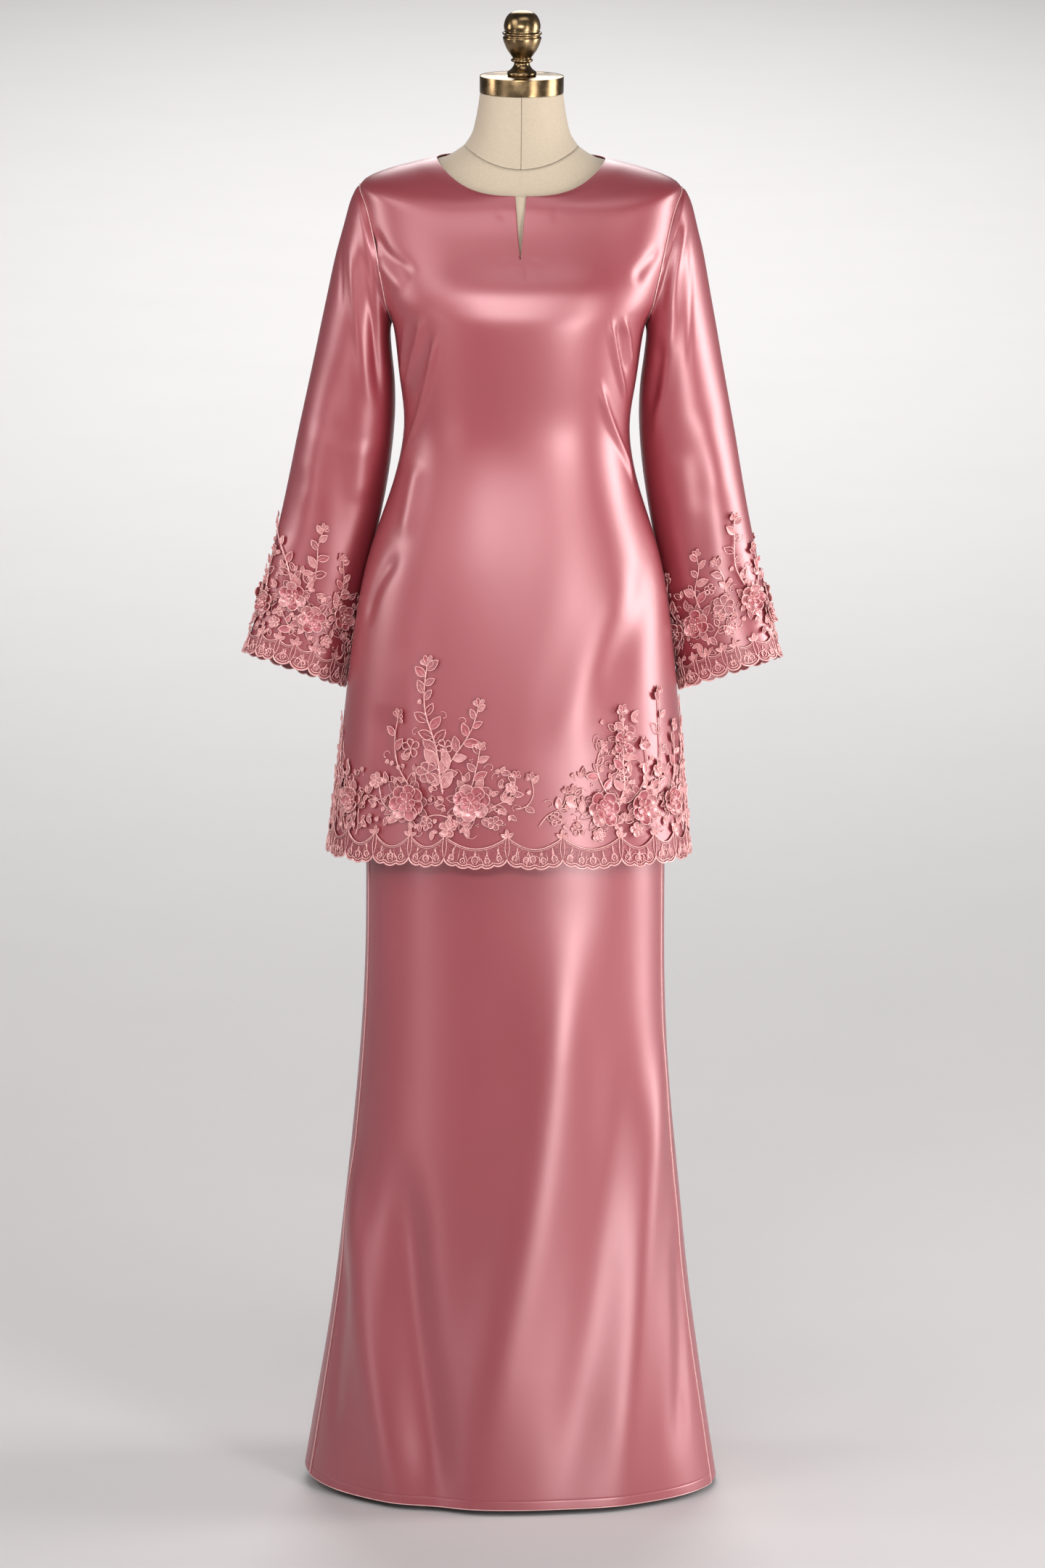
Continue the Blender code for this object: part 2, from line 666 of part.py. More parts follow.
def make_lace():
    wall_object("hem_lace_front", [map(swung, hem_lace("front"))], "lace")
    wall_object("hem_lace_back", [map(swung, hem_lace("back"))], "lace")
    outer, inner = cuff_lace()
    wall_object("cuff_lace_right", [(swung(outer), swung(inner))], "lace")
    wall_object("cuff_lace_left", [(swung(mirrored(outer)), swung(mirrored(inner)))], "lace")


# ---------------------------------------------------------------- dress form and stand


def form_angles():
    return np.linspace(0, 2 * math.pi, FORM_SIDES, endpoint=False)


def form_surface(z, angle):
    return ring(FORM_COLUMNS, z, angle)


def form_rings():
    """Rings of the linen torso: its own table up to the bust, then just inside the tunic."""
    angle = form_angles()
    rings = [form_surface(z + 0 * angle, angle) for z in FORM_HEIGHTS]
    clearance = spline([row.row for row in CLEARANCES], [row.clearance for row in CLEARANCES])
    for row in TUNIC_ROWS[UNDERARM_INDEX:]:
        rows = row + 0 * angle
        inset = CLOTH_WALL + clearance(row)
        rings.append(tunic_surface(rows, angle) - inset * normals(tunic_surface, rows, angle))
    return rings


def make_form():
    angle = form_angles()
    neck = [ring(NECK_COLUMNS, row + 0 * angle, angle) for row in np.arange(0, len(NECK) - 0.5, 0.5)]
    rings = form_rings()
    shoulder = rings[-1]
    seam = neck[0] - np.array([0, 0, GAP])
    for part in SHOULDER_SLOPE_PARTS:
        rings.append(shoulder + (seam - shoulder) * np.array([part, part, part ** 1.5]))
    rings.append(seam)
    ring_object("form_torso", rings, "linen")
    ring_object("form_neck", neck, "linen")


def make_hardware():
    cap = (
        (CAP_RADIUS - CAP_BEVEL, CAP_BOTTOM),
        (CAP_RADIUS, CAP_BOTTOM + CAP_BEVEL),
        (CAP_RADIUS, CAP_TOP - CAP_BEVEL),
        (CAP_RADIUS - CAP_BEVEL, CAP_TOP),
    )
    turned_object("neck_cap", cap, 0, "brass", sides=48)
    turned_object("finial", FINIAL, CAP_TOP + GAP, "brass", sides=24)
    turned_object("stand_base", BASE, 0, "iron", sides=48)
    top = FORM[0].z - GAP
    pole = (
        (POLE_RADIUS, BASE[-1][1] + GAP),
        (POLE_RADIUS, top - 2 * POLE_FLANGE_HEIGHT),
        (POLE_FLANGE_RADIUS, top - POLE_FLANGE_HEIGHT),
        (POLE_FLANGE_RADIUS, top),
    )
    turned_object("stand_pole", pole, 0, "steel", sides=24)


# ---------------------------------------------------------------- build


def main():
    for old in list(bpy.data.objects):
        bpy.data.objects.remove(old, do_unlink=True)
    front, back = make_tunic()
    make_sleeves(front, back)
    make_skirt()
    make_waistband()
    make_lace()
    make_form()
    make_hardware()


main()
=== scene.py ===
import math
from collections import namedtuple

import bmesh
import bpy
import numpy as np
from mathutils import Matrix, Vector


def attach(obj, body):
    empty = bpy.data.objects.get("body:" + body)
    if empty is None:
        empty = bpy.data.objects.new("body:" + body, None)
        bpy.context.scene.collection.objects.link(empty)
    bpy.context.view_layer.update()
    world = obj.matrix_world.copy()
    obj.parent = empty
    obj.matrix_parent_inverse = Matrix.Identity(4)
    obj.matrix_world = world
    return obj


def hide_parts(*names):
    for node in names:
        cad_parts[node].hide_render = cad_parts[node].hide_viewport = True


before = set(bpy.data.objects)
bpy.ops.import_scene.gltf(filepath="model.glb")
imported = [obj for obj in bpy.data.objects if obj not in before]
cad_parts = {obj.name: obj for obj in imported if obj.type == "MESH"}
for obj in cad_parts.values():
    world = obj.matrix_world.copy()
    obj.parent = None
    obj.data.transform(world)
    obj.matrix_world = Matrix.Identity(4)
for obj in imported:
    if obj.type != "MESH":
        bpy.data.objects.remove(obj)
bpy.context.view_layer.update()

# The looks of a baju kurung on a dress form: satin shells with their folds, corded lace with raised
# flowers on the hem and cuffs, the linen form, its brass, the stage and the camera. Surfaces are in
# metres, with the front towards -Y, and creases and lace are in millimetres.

MM = 0.001


def table(columns, *rows):
    """A short table, whose rows give their values by column name."""
    kind = namedtuple("Row", columns)
    return tuple(kind(*row) for row in rows)


# ---- camera

PHOTO_HEIGHT = 2160
PIXELS_PER_METRE = 1200
SENSOR = 36.0
CLIP_END = 200.0
CAMERA_DISTANCE = 10.0
CAMERA_ELEVATION = math.radians(11.5)
CAMERA_ROLL = math.radians(0.48)
CAMERA_TARGET = Vector((0.0075, 0.0, 0.826))


def make_camera():
    """The photograph's view: far off, a little above the chest, and turned a hair about its own axis."""
    data = bpy.data.cameras.new("camera")
    data.sensor_width = SENSOR
    data.lens = SENSOR * CAMERA_DISTANCE * PIXELS_PER_METRE / PHOTO_HEIGHT
    data.clip_end = CLIP_END
    camera = bpy.data.objects.new("camera", data)
    back = Vector((0, -math.cos(CAMERA_ELEVATION), math.sin(CAMERA_ELEVATION)))
    right = Vector((1, 0, 0))
    up = back.cross(right)
    turned_right = right * math.cos(CAMERA_ROLL) + up * math.sin(CAMERA_ROLL)
    turned_up = up * math.cos(CAMERA_ROLL) - right * math.sin(CAMERA_ROLL)
    turn = Matrix((turned_right, turned_up, back)).transposed()
    camera.matrix_world = Matrix.Translation(CAMERA_TARGET + back * CAMERA_DISTANCE) @ turn.to_4x4()
    bpy.context.scene.collection.objects.link(camera)
    bpy.context.scene.camera = camera


# ---- the solids' own tables

# These are part.py's dimensions, so that the shells follow the solids that they replace. A row's number is
# its place in its table, counted from 0, and for a sleeve from 1.

UNDERARM_ROW = 8
SHOULDER_ROW = 14
NECKLINE_ROW = 18
SLIT_FOOT_ROW = 11
SLIT_WIDTH = 0.0125
SWING = -0.0075
SWING_START = 1.45
GAP = 0.0003
CLOTH_WALL = 0.0015
ARMHOLE_LEAN = math.radians(13)
SLEEVE_GAP = 0.0006
SKIRT_SEAM_ANGLE = math.radians(13)
HEM_LIFT = 0.012
HEM_LIFT_ANGLE = math.radians(195)
HEM_LIFT_WIDTH = math.radians(38)
HEM_LIFT_TOP = 0.30
SKIRT_TOP = 1.2300
BAND_TOP = 1.2570
CAP_RADIUS = 0.0475
CAP_BOTTOM = 1.6236
CAP_TOP = 1.6420

# A level ring has one height. A tilted one has its heights at the side, front and back, and its dip's power.
LEVEL_RING = "z half_width front back squareness"
TILTED_RING = "z_side z_front z_back half_width front back squareness dip"

TUNIC = table(
    TILTED_RING,
    (0.757, 0.767, 0.768, 0.2075, 0.1500, 0.1500, 2.10, 2.0),
    (0.851, 0.859, 0.860, 0.1974, 0.1450, 0.1460, 2.12, 2.0),
    (0.936, 0.942, 0.943, 0.1892, 0.1390, 0.1410, 2.16, 2.0),
    (1.017, 1.021, 1.022, 0.1803, 0.1320, 0.1350, 2.20, 2.0),
    (1.095, 1.097, 1.097, 0.1655, 0.1230, 0.1220, 2.25, 2.0),
    (1.168, 1.168, 1.168, 0.1419, 0.1120, 0.0990, 2.30, 2.0),
    (1.240, 1.240, 1.240, 0.1285, 0.1060, 0.0850, 2.35, 2.0),
    (1.300, 1.302, 1.300, 0.1347, 0.1180, 0.0890, 2.40, 2.0),
    (1.360, 1.362, 1.360, 0.1432, 0.1320, 0.0970, 2.45, 2.0),
    (1.391, 1.392, 1.391, 0.1575, 0.1310, 0.1010, 2.45, 2.0),
    (1.424, 1.420, 1.424, 0.1680, 0.1210, 0.1035, 2.42, 2.0),
    (1.455, 1.446, 1.454, 0.1745, 0.1085, 0.1030, 2.40, 2.0),
    (1.483, 1.468, 1.480, 0.1785, 0.0985, 0.0995, 2.36, 2.1),
    (1.505, 1.484, 1.500, 0.1808, 0.0925, 0.0945, 2.32, 2.3),
    (1.518, 1.495, 1.515, 0.1810, 0.0888, 0.0890, 2.28, 2.5),
    (1.5275, 1.503, 1.526, 0.1690, 0.0860, 0.0825, 2.25, 2.7),
    (1.5355, 1.508, 1.534, 0.1480, 0.0835, 0.0765, 2.22, 2.8),
    (1.5425, 1.512, 1.541, 0.1220, 0.0812, 0.0710, 2.20, 2.9),
    (1.5490, 1.516, 1.548, 0.0950, 0.0790, 0.0665, 2.20, 3.0),
)

ARMHOLE = table(
    "row front back",
    (8, 0.0, 0.0),
    (9, 18.5, 24.0),
    (10, 22.5, 28.5),
    (11, 22.5, 28.0),
    (12, 19.5, 24.0),
    (13, 12.5, 15.0),
    (14, 0.0, 0.0),
)

SLEEVE = table(
    "outer_x outer_z inner_x inner_z centre_y front back tilt",
    (0.1873, 1.5120, 0.1452, 1.3520, 0.001, 0.052, 0.055, 0.00),
    (0.1940, 1.4960, 0.1452, 1.3440, 0.004, 0.054, 0.056, 0.00),
    (0.2005, 1.4700, 0.1444, 1.3330, 0.007, 0.055, 0.056, 0.00),
    (0.2085, 1.4380, 0.1428, 1.3170, 0.011, 0.056, 0.056, 0.00),
    (0.2170, 1.3960, 0.1405, 1.2960, 0.015, 0.056, 0.055, 0.00),
    (0.2256, 1.3530, 0.1392, 1.2710, 0.019, 0.055, 0.054, 0.00),
    (0.2339, 1.3090, 0.1397, 1.2410, 0.023, 0.054, 0.053, 0.00),
    (0.2465, 1.2440, 0.1440, 1.1930, 0.028, 0.052, 0.052, 0.00),
    (0.2592, 1.1790, 0.1540, 1.1340, 0.032, 0.050, 0.050, 0.03),
    (0.2722, 1.1140, 0.1668, 1.0730, 0.036, 0.049, 0.049, 0.07),
    (0.2862, 1.0500, 0.1772, 1.0110, 0.040, 0.048, 0.048, 0.13),
    (0.2990, 1.0010, 0.1862, 0.9620, 0.042, 0.048, 0.048, 0.19),
    (0.3080, 0.9730, 0.1930, 0.9340, 0.043, 0.048, 0.048, 0.24),
)

SKIRT = table(
    LEVEL_RING,
    (0.0070, 0.2400, 0.1600, 0.1620, 2.00),
    (0.0749, 0.2292, 0.1555, 0.1570, 2.00),
    (0.1500, 0.2175, 0.1500, 0.1510, 2.02),
    (0.2300, 0.2065, 0.1440, 0.1450, 2.04),
    (0.3200, 0.1958, 0.1375, 0.1390, 2.07),
    (0.4200, 0.1855, 0.1310, 0.1335, 2.10),
    (0.5200, 0.1772, 0.1258, 0.1290, 2.14),
    (0.6200, 0.1725, 0.1225, 0.1262, 2.18),
    (0.7200, 0.1715, 0.1210, 0.1255, 2.22),
    (0.8200, 0.1715, 0.1205, 0.1260, 2.25),
    (0.9200, 0.1712, 0.1195, 0.1265, 2.27),
    (1.0200, 0.1665, 0.1165, 0.1240, 2.28),
    (1.1000, 0.1530, 0.1085, 0.1110, 2.28),
    (1.1700, 0.1290, 0.0980, 0.0895, 2.28),
    (SKIRT_TOP, 0.1153, 0.0916, 0.0746, 2.28),
)

FORM = table(
    LEVEL_RING,
    (0.9300, 0.1560, 0.1040, 0.1120, 2.25),
    (0.9800, 0.1630, 0.1110, 0.1190, 2.26),
    (1.0300, 0.1608, 0.1120, 0.1190, 2.28),
    (1.1000, 0.1480, 0.1045, 0.1060, 2.28),
    (1.1700, 0.1240, 0.0935, 0.0850, 2.28),
    (1.2430, 0.1110, 0.0880, 0.0700, 2.28),
    (1.3000, 0.1240, 0.1060, 0.0800, 2.36),
)

CLEARANCES = table(
    "row clearance",
    (8, 0.0026),
    (9, 0.0038),
    (11, 0.0034),
    (13, 0.0032),
    (15, 0.0016),
    (18, 0.0010),
)

NECK_TOP = CAP_BOTTOM - GAP
NECK = table(
    TILTED_RING,
    (1.5636, 1.5440, 1.5680, 0.0640, 0.0625, 0.0570, 2.0, 2.0),
    (1.5760, 1.5620, 1.5780, 0.0562, 0.0560, 0.0535, 2.0, 2.0),
    (1.5900, 1.5820, 1.5910, 0.0522, 0.0518, 0.0510, 2.0, 2.0),
    (1.6060, 1.6040, 1.6060, 0.0492, 0.0490, 0.0488, 2.0, 2.0),
    (NECK_TOP, NECK_TOP, NECK_TOP, 0.0470, 0.0470, 0.0470, 2.0, 2.0),
)

FINIAL = (
    (0.0158, 0.0000), (0.0165, 0.0018), (0.0160, 0.0045), (0.0118, 0.0080), (0.0092, 0.0120),
    (0.0090, 0.0150), (0.0120, 0.0165), (0.0122, 0.0185), (0.0105, 0.0200), (0.0132, 0.0240),
    (0.0172, 0.0300), (0.0205, 0.0375), (0.0218, 0.0430), (0.0206, 0.0445), (0.0206, 0.0460),
    (0.0222, 0.0472), (0.0222, 0.0490), (0.0200, 0.0502), (0.0207, 0.0540), (0.0204, 0.0590),
    (0.0185, 0.0650), (0.0150, 0.0697), (0.0100, 0.0725), (0.0050, 0.0736),
)

# ---- the cloth's own creases

# A crease is a soft ridge, or a trough where its height is under 0, along a line seen from the front,
# or from the back for a back panel. Its width is the distance at which it has fallen to a third.
CREASE = "width height line"

TUNIC_FRONT_CREASES = table(
    CREASE,
    # Drag lines from the armholes and the bust down to the waist.
    (4.0, 2.6, ((-127, 1378), (-130, 1340), (-132, 1290))),
    (4.2, 4.2, ((-106, 1388), (-115, 1350), (-122, 1318), (-127, 1278))),
    (6.0, -3.0, ((-98, 1372), (-106, 1336), (-114, 1300), (-121, 1266))),
    (4.4, 4.8, ((-91, 1372), (-98, 1326), (-106, 1287), (-116, 1246), (-125, 1218), (-135, 1192))),
    (5.0, -1.6, ((-118, 1372), (-125, 1330), (-129, 1296))),
    (4.2, 4.2, ((102, 1388), (107, 1353), (116, 1309), (124, 1266))),
    (4.5, -2.7, ((111, 1380), (116, 1346), (124, 1306))),
    (3.8, 3.2, ((117, 1385), (125, 1346), (129, 1311))),
    (5.0, 4.0, ((90, 1316), (100, 1276), (113, 1240), (126, 1208), (138, 1170))),
    # The bust's full upper side, then the chest.
    (22.0, 3.3, ((-150, 1398), (-100, 1408), (-50, 1413), (0, 1414), (50, 1413), (100, 1408), (150, 1398))),
    (9.0, -3.5, ((-167, 1474), (-150, 1446), (-131, 1434), (-114, 1422))),
    (9.0, 1.6, ((-164, 1440), (-146, 1422), (-126, 1412))),
    (8.0, -2.6, ((160, 1456), (146, 1442), (126, 1419))),
    (2.0, 0.8, ((-5, 1449), (-14, 1446), (-25, 1439))),
    (2.0, 0.8, ((7, 1449), (16, 1446), (28, 1440))),
    (3.0, -0.8, ((1, 1446), (2, 1434), (2, 1420))),
    (2.5, -0.6, ((-24, 1509), (-23, 1490))),
    (2.5, -0.6, ((41, 1508), (38, 1488))),
    # The waist and the hips.
    (13.0, 3.0, ((-110, 1216), (-117, 1185), (-125, 1134), (-129, 1118))),
    (11.0, -3.5, ((-128, 1112), (-142, 1092), (-158, 1060), (-168, 1010))),
    (24.0, -3.0, ((158, 1110), (150, 1080), (143, 1048), (128, 1014), (114, 975), (104, 930))),
    (28.0, 3.2, ((136, 1098), (126, 1070), (111, 1040), (90, 988), (75, 950), (55, 871))),
    (18.0, -2.6, ((-146, 940), (-140, 880), (-150, 810))),
    (22.0, 2.2, ((-118, 1010), (-108, 930), (-112, 830))),
)

TUNIC_BACK_CREASES = table(
    CREASE,
    (3.0, 2.4, ((-118, 1372), (-121, 1330), (-126, 1280))),
    (5.0, -2.5, ((-108, 1360), (-112, 1315), (-118, 1262))),
    (3.2, 3.0, ((-96, 1345), (-102, 1300), (-112, 1250), (-126, 1206))),
    (3.0, 2.2, ((112, 1380), (118, 1335), (126, 1284))),
    (4.8, -2.4, ((102, 1362), (108, 1310), (116, 1268))),
    (3.2, 3.2, ((92, 1300), (101, 1266), (117, 1228), (130, 1196))),
    (7.0, -3.0, ((40, 1262), (0, 1256), (-44, 1264))),
    (8.0, 2.4, ((52, 1240), (4, 1232), (-50, 1243))),
    (9.0, -2.7, ((150, 1462), (128, 1440), (104, 1428))),
    (9.0, -2.4, ((-152, 1466), (-130, 1440), (-100, 1430))),
    (14.0, -3.6, ((-120, 1120), (-132, 1060), (-128, 980), (-112, 900))),
    (16.0, 3.9, ((-92, 1130), (-96, 1040), (-84, 950), (-66, 860))),
    (14.0, -3.3, ((122, 1110), (136, 1040), (134, 960), (120, 880))),
    (15.0, 3.3, ((88, 1120), (98, 1040), (90, 940), (76, 850))),
)

SLEEVE_LEFT_FRONT = table(
    CREASE,
    (3.5, -0.9, ((193, 1490), (200, 1462), (202, 1415), (201, 1366))),
    (6.7, 2.3, ((195, 1468), (189, 1418), (183, 1369), (176, 1318), (170, 1280), (162, 1256))),
    (6.4, -3.6, ((185, 1484), (172, 1420), (163, 1344), (158, 1292), (155, 1255))),
    (5.8, 1.6, ((182, 1482), (174, 1440), (166, 1395), (160, 1360))),
    (19.2, -2.6, ((200, 1330), (202, 1270), (196, 1216), (197, 1135), (206, 1060))),
    (16.0, 2.0, ((178, 1230), (178, 1190), (177, 1148))),
    (22.4, 2.2, ((222, 1250), (231, 1176), (231, 1132))),
    (19.2, -1.8, ((244, 1200), (257, 1146), (262, 1090))),
)

SLEEVE_RIGHT_FRONT = table(
    CREASE,
    (5.8, -3.4, ((184, 1494), (172, 1450), (164, 1410), (159, 1376))),
    (5.8, 1.8, ((190, 1490), (180, 1448), (172, 1405), (167, 1370))),
    (11.2, -3.5, ((164, 1352), (161, 1321), (156, 1290), (151, 1258))),
    (7.2, 2.6, ((180, 1430), (175, 1398), (170, 1346), (165, 1296), (158, 1250), (153, 1216))),
    (3.2, -0.8, ((191, 1470), (194, 1410), (194, 1359), (193, 1305))),
    (20.8, 2.2, ((212, 1270), (221, 1219), (232, 1150))),
    (16.0, -2.0, ((196, 1240), (206, 1182), (214, 1110), (220, 1050))),
    (16.0, 1.8, ((182, 1222), (189, 1181), (192, 1130))),
)

SLEEVE_BACK = table(
    CREASE,
    (5.8, 1.9, ((192, 1476), (184, 1420), (176, 1350), (170, 1296))),
    (8.0, -2.2, ((182, 1462), (172, 1400), (165, 1340), (160, 1290))),
    (19.2, -2.4, ((214, 1330), (210, 1250), (206, 1160), (214, 1070))),
    (20.8, 2.2, ((196, 1290), (188, 1200), (190, 1110))),
    (19.2, 1.8, ((236, 1270), (246, 1180), (258, 1080))),
)

SKIRT_FRONT_CREASES = table(
    CREASE,
    # The lit corner at the left and the dark valley beside it.
    (26.0, 8.0, ((-184, 420), (-178, 300), (-168, 200), (-152, 110), (-136, 30), (-128, -60))),
    (28.0, -13.0, ((-128, 430), (-124, 330), (-116, 230), (-104, 140), (-88, 40), (-76, -60))),
    (14.0, -3.4, ((-188, 300), (-194, 210), (-203, 120), (-207, 50))),
    # The long ridge down the middle, lit on its right side.
    (42.0, 12.0, ((58, 720), (48, 560), (30, 400), (2, 260), (-24, 130), (-40, 20), (-46, -60))),
    # The right valley, and the lit band outside it.
    (30.0, -6.0, ((124, 600), (116, 440), (104, 300), (86, 170), (68, 50), (60, -60))),
    (24.0, 5.0, ((172, 560), (164, 430), (152, 300), (140, 180), (130, 60), (124, -60))),
    (14.0, -3.4, ((188, 330), (194, 220), (196, 110), (194, 30))),
)

SKIRT_BACK_CREASES = table(
    CREASE,
    (28.0, 8.5, ((-60, 660), (-84, 440), (-104, 240), (-116, 20))),
    (28.0, 8.0, ((70, 660), (74, 440), (66, 240), (52, 20))),
    (26.0, -7.5, ((-20, 600), (-28, 400), (-24, 200), (-20, 20))),
    (24.0, -7.0, ((124, 600), (128, 400), (124, 220), (118, 20))),
    (20.0, 5.5, ((152, 480), (164, 300), (176, 120), (180, 15))),
    (20.0, -5.5, ((-134, 520), (-150, 320), (-158, 140), (-160, 20))),
    (16.0, 2.4, ((10, 130), (14, 60), (16, 12))),
)

# Broad, shallow waves that no cloth is without: height in millimetres, wavelengths across and up.
WAVE_COUNT = 12
WAVE_HEIGHT = 0.30
WAVE_ACROSS = (95, 190)
WAVE_UP = (220, 520)
WAVE_DEPTH_SHARE = 0.8

# Seeds of each cloth's waves.
TUNIC_WAVES, SKIRT_WAVES = 3, 21
SLEEVE_WAVES = {"right": 11, "left": 12}

# A crease's line is laid on the cloth through a count of points, smoothed a few times, felt as far as a few
# widths away, and faded over a share of its length at either end.
CREASE_POINTS = 20
CREASE_SMOOTHINGS = 4
CREASE_REACH = 3
CREASE_FADE_IN = 0.25
CREASE_FADE_OUT = 0.30

# ---- smooth tables


def spline_slopes(at, values):
    """Slopes of the smoothest cubic through the values, with free ends."""
    count = len(at)
    step = np.diff(at)
    rise = np.diff(values) / step
    system = np.zeros((count, count))
    right = np.zeros(count)
    system[0, :2] = 2, 1
    system[-1, -2:] = 1, 2
    right[0] = 3 * rise[0]
    right[-1] = 3 * rise[-1]
    for i in range(1, count - 1):
        system[i, i - 1] = step[i]
        system[i, i] = 2 * (step[i - 1] + step[i])
        system[i, i + 1] = step[i - 1]
        right[i] = 3 * (step[i] * rise[i - 1] + step[i - 1] * rise[i])
    return np.linalg.solve(system, right)


def spline(at, values):
    """A function through the values, which runs on straight past its ends."""
    at = np.asarray(at, float)
    values = np.asarray(values, float)
    slopes = spline_slopes(at, values)

    def value(x):
        x = np.asarray(x, float)
        i = np.clip(np.searchsorted(at, x) - 1, 0, len(at) - 2)
        width = at[i + 1] - at[i]
        t = np.clip((x - at[i]) / width, 0, 1)
        inside = (
            (1 + 2 * t) * (1 - t) ** 2 * values[i]
            + t * (1 - t) ** 2 * width * slopes[i]
            + t * t * (3 - 2 * t) * values[i + 1]
            + t * t * (t - 1) * width * slopes[i + 1]
        )
        before = np.minimum(x - at[0], 0) * slopes[0]
        after = np.maximum(x - at[-1], 0) * slopes[-1]
        return inside + before + after

    return value


def table_splines(rows, keys):
    """One spline for each column of a table, by column name."""
    return {name: spline(keys, [getattr(row, name) for row in rows]) for name in rows[0]._fields}


def whole_turn(count):
    """Angles evenly round a circle."""
    return np.linspace(0, 2 * math.pi, count, endpoint=False)


def smooth_step(x, start, end):
    """0 before the start, 1 after the end, and an even change between them."""
    t = np.clip((x - start) / (end - start), 0, 1)
    return t * t * (3 - 2 * t)


def lengths_along(points):
    """How far along a line each of its points is."""
    steps = np.linalg.norm(np.diff(points, axis=0), axis=-1)
    return np.concatenate([[0.0], np.cumsum(steps)])


def smooth_line(points, count):
    """Evenly spaced points on the smooth curve through a few, found among eight times as many."""
    points = np.asarray(points, float)
    if len(points) == 2:
        return points[0] + (points[1] - points[0]) * np.linspace(0, 1, count)[:, None]
    at = lengths_along(points)
    sampled = np.linspace(0, at[-1], 8 * count)
    fine = np.stack([spline(at, points[:, k])(sampled) for k in range(points.shape[1])], axis=-1)
    along = lengths_along(fine)
    even = np.linspace(0, along[-1], count)
    return np.stack([np.interp(even, along, fine[:, k]) for k in range(points.shape[1])], axis=-1)


def unit(vectors):
    return vectors / np.maximum(np.linalg.norm(vectors, axis=-1, keepdims=True), 1e-12)


# ---- the solids' surfaces


def signed_power(value, exponent):
    return np.sign(value) * np.abs(value) ** exponent


def ring(columns, key, angle):
    """Points of a ring table. The angle runs from +X through the front, -Y, in radians."""
    exponent = 2 / columns["squareness"](key)
    across = signed_power(np.cos(angle), exponent)
    along = signed_power(np.sin(angle), exponent)
    depth = np.where(along > 0, columns["front"](key), columns["back"](key))
    if "z" in columns:
        z = columns["z"](key) + 0 * angle
    else:
        middle = np.where(along > 0, columns["z_front"](key), columns["z_back"](key))
        z = middle + (columns["z_side"](key) - middle) * np.abs(np.cos(angle)) ** columns["dip"](key)
    return np.stack([columns["half_width"](key) * across, -depth * along, z], axis=-1)


TUNIC_COLUMNS = table_splines(TUNIC, range(len(TUNIC)))
SKIRT_COLUMNS = table_splines(SKIRT, [row.z for row in SKIRT])
FORM_COLUMNS = table_splines(FORM, [row.z for row in FORM])
NECK_COLUMNS = table_splines(NECK, range(len(NECK)))
SLEEVE_COLUMNS = table_splines(SLEEVE, range(1, len(SLEEVE) + 1))
ARMHOLE_COLUMNS = table_splines(ARMHOLE, [row.row for row in ARMHOLE])
SLEEVE_CUFF = len(SLEEVE)


def swung(points):
    """The points moved to where the tunic and sleeves hang, a touch to one side below the chest."""
    moved = points.copy()
    drop = np.clip((SWING_START - points[..., 2]) / (SWING_START - TUNIC[0].z_side), 0, 1)
    moved[..., 0] += SWING * drop
    return moved


def mirrored(points):
    return points * np.array([-1, 1, 1])


def tunic_surface(row, angle):
    return ring(TUNIC_COLUMNS, row, angle)


def skirt_surface(z, angle):
    points = ring(SKIRT_COLUMNS, z, angle)
    away = (angle - HEM_LIFT_ANGLE + math.pi) % (2 * math.pi) - math.pi
    near = np.exp(-((away / HEM_LIFT_WIDTH) ** 2))
    points[..., 2] += HEM_LIFT * near * np.clip(1 - z / HEM_LIFT_TOP, 0, 1) ** 2
    return points


def sleeve_surface(row, angle):
    """Points of the right sleeve's rings. The angle runs from its outer edge through the front."""
    get = {name: column(row) for name, column in SLEEVE_COLUMNS.items()}
    across = (np.cos(angle) + 1) / 2
    depth = np.where(np.sin(angle) > 0, get["front"], get["back"]) * np.sin(angle)
    return np.stack(
        [
            get["inner_x"] + (get["outer_x"] - get["inner_x"]) * across,
            get["centre_y"] - depth,
            get["inner_z"] + (get["outer_z"] - get["inner_z"]) * across + get["tilt"] * depth,
        ],
        axis=-1,
    )


def normals(surface, row, angle):
    """Unit normals of a surface, pointing out where its rows go up."""
    step = 1e-4
    up = surface(row + step, angle) - surface(row - step, angle)
    around = surface(row, angle + step) - surface(row, angle - step)
    return unit(np.cross(up, around))


def grid_normals(points, closed):
    """Unit normals of a grid whose rows go up, pointing out."""
    up = np.gradient(points, axis=0)
    if closed:
        around = np.roll(points, -1, axis=1) - np.roll(points, 1, axis=1)
    else:
        around = np.gradient(points, axis=1)
    return unit(np.cross(up, around))


def armhole_angle(row, side):
    """The angle that the armhole takes from the front's or the back's edge, in radians."""
    inside = (row > UNDERARM_ROW) & (row < SHOULDER_ROW)
    return np.where(inside, np.radians(ARMHOLE_COLUMNS[side](row)), 0.0)


# ---- cloth shape


def distance_to_line(points, line):
    """How far each point is from a broken line, and how far along it, from 0 to 1, the nearest place is."""
    nearest = np.full(points.shape[:-1], np.inf)
    part = np.zeros(points.shape[:-1])
    count = len(line) - 1
    for i in range(count):
        step = line[i + 1] - line[i]
        t = np.clip((points - line[i]) @ step / max(step @ step, 1e-12), 0, 1)
        away = np.linalg.norm(points - line[i] - t[..., None] * step, axis=-1)
        closer = away < nearest
        nearest = np.where(closer, away, nearest)
        part = np.where(closer, (i + t) / count, part)
    return nearest, part


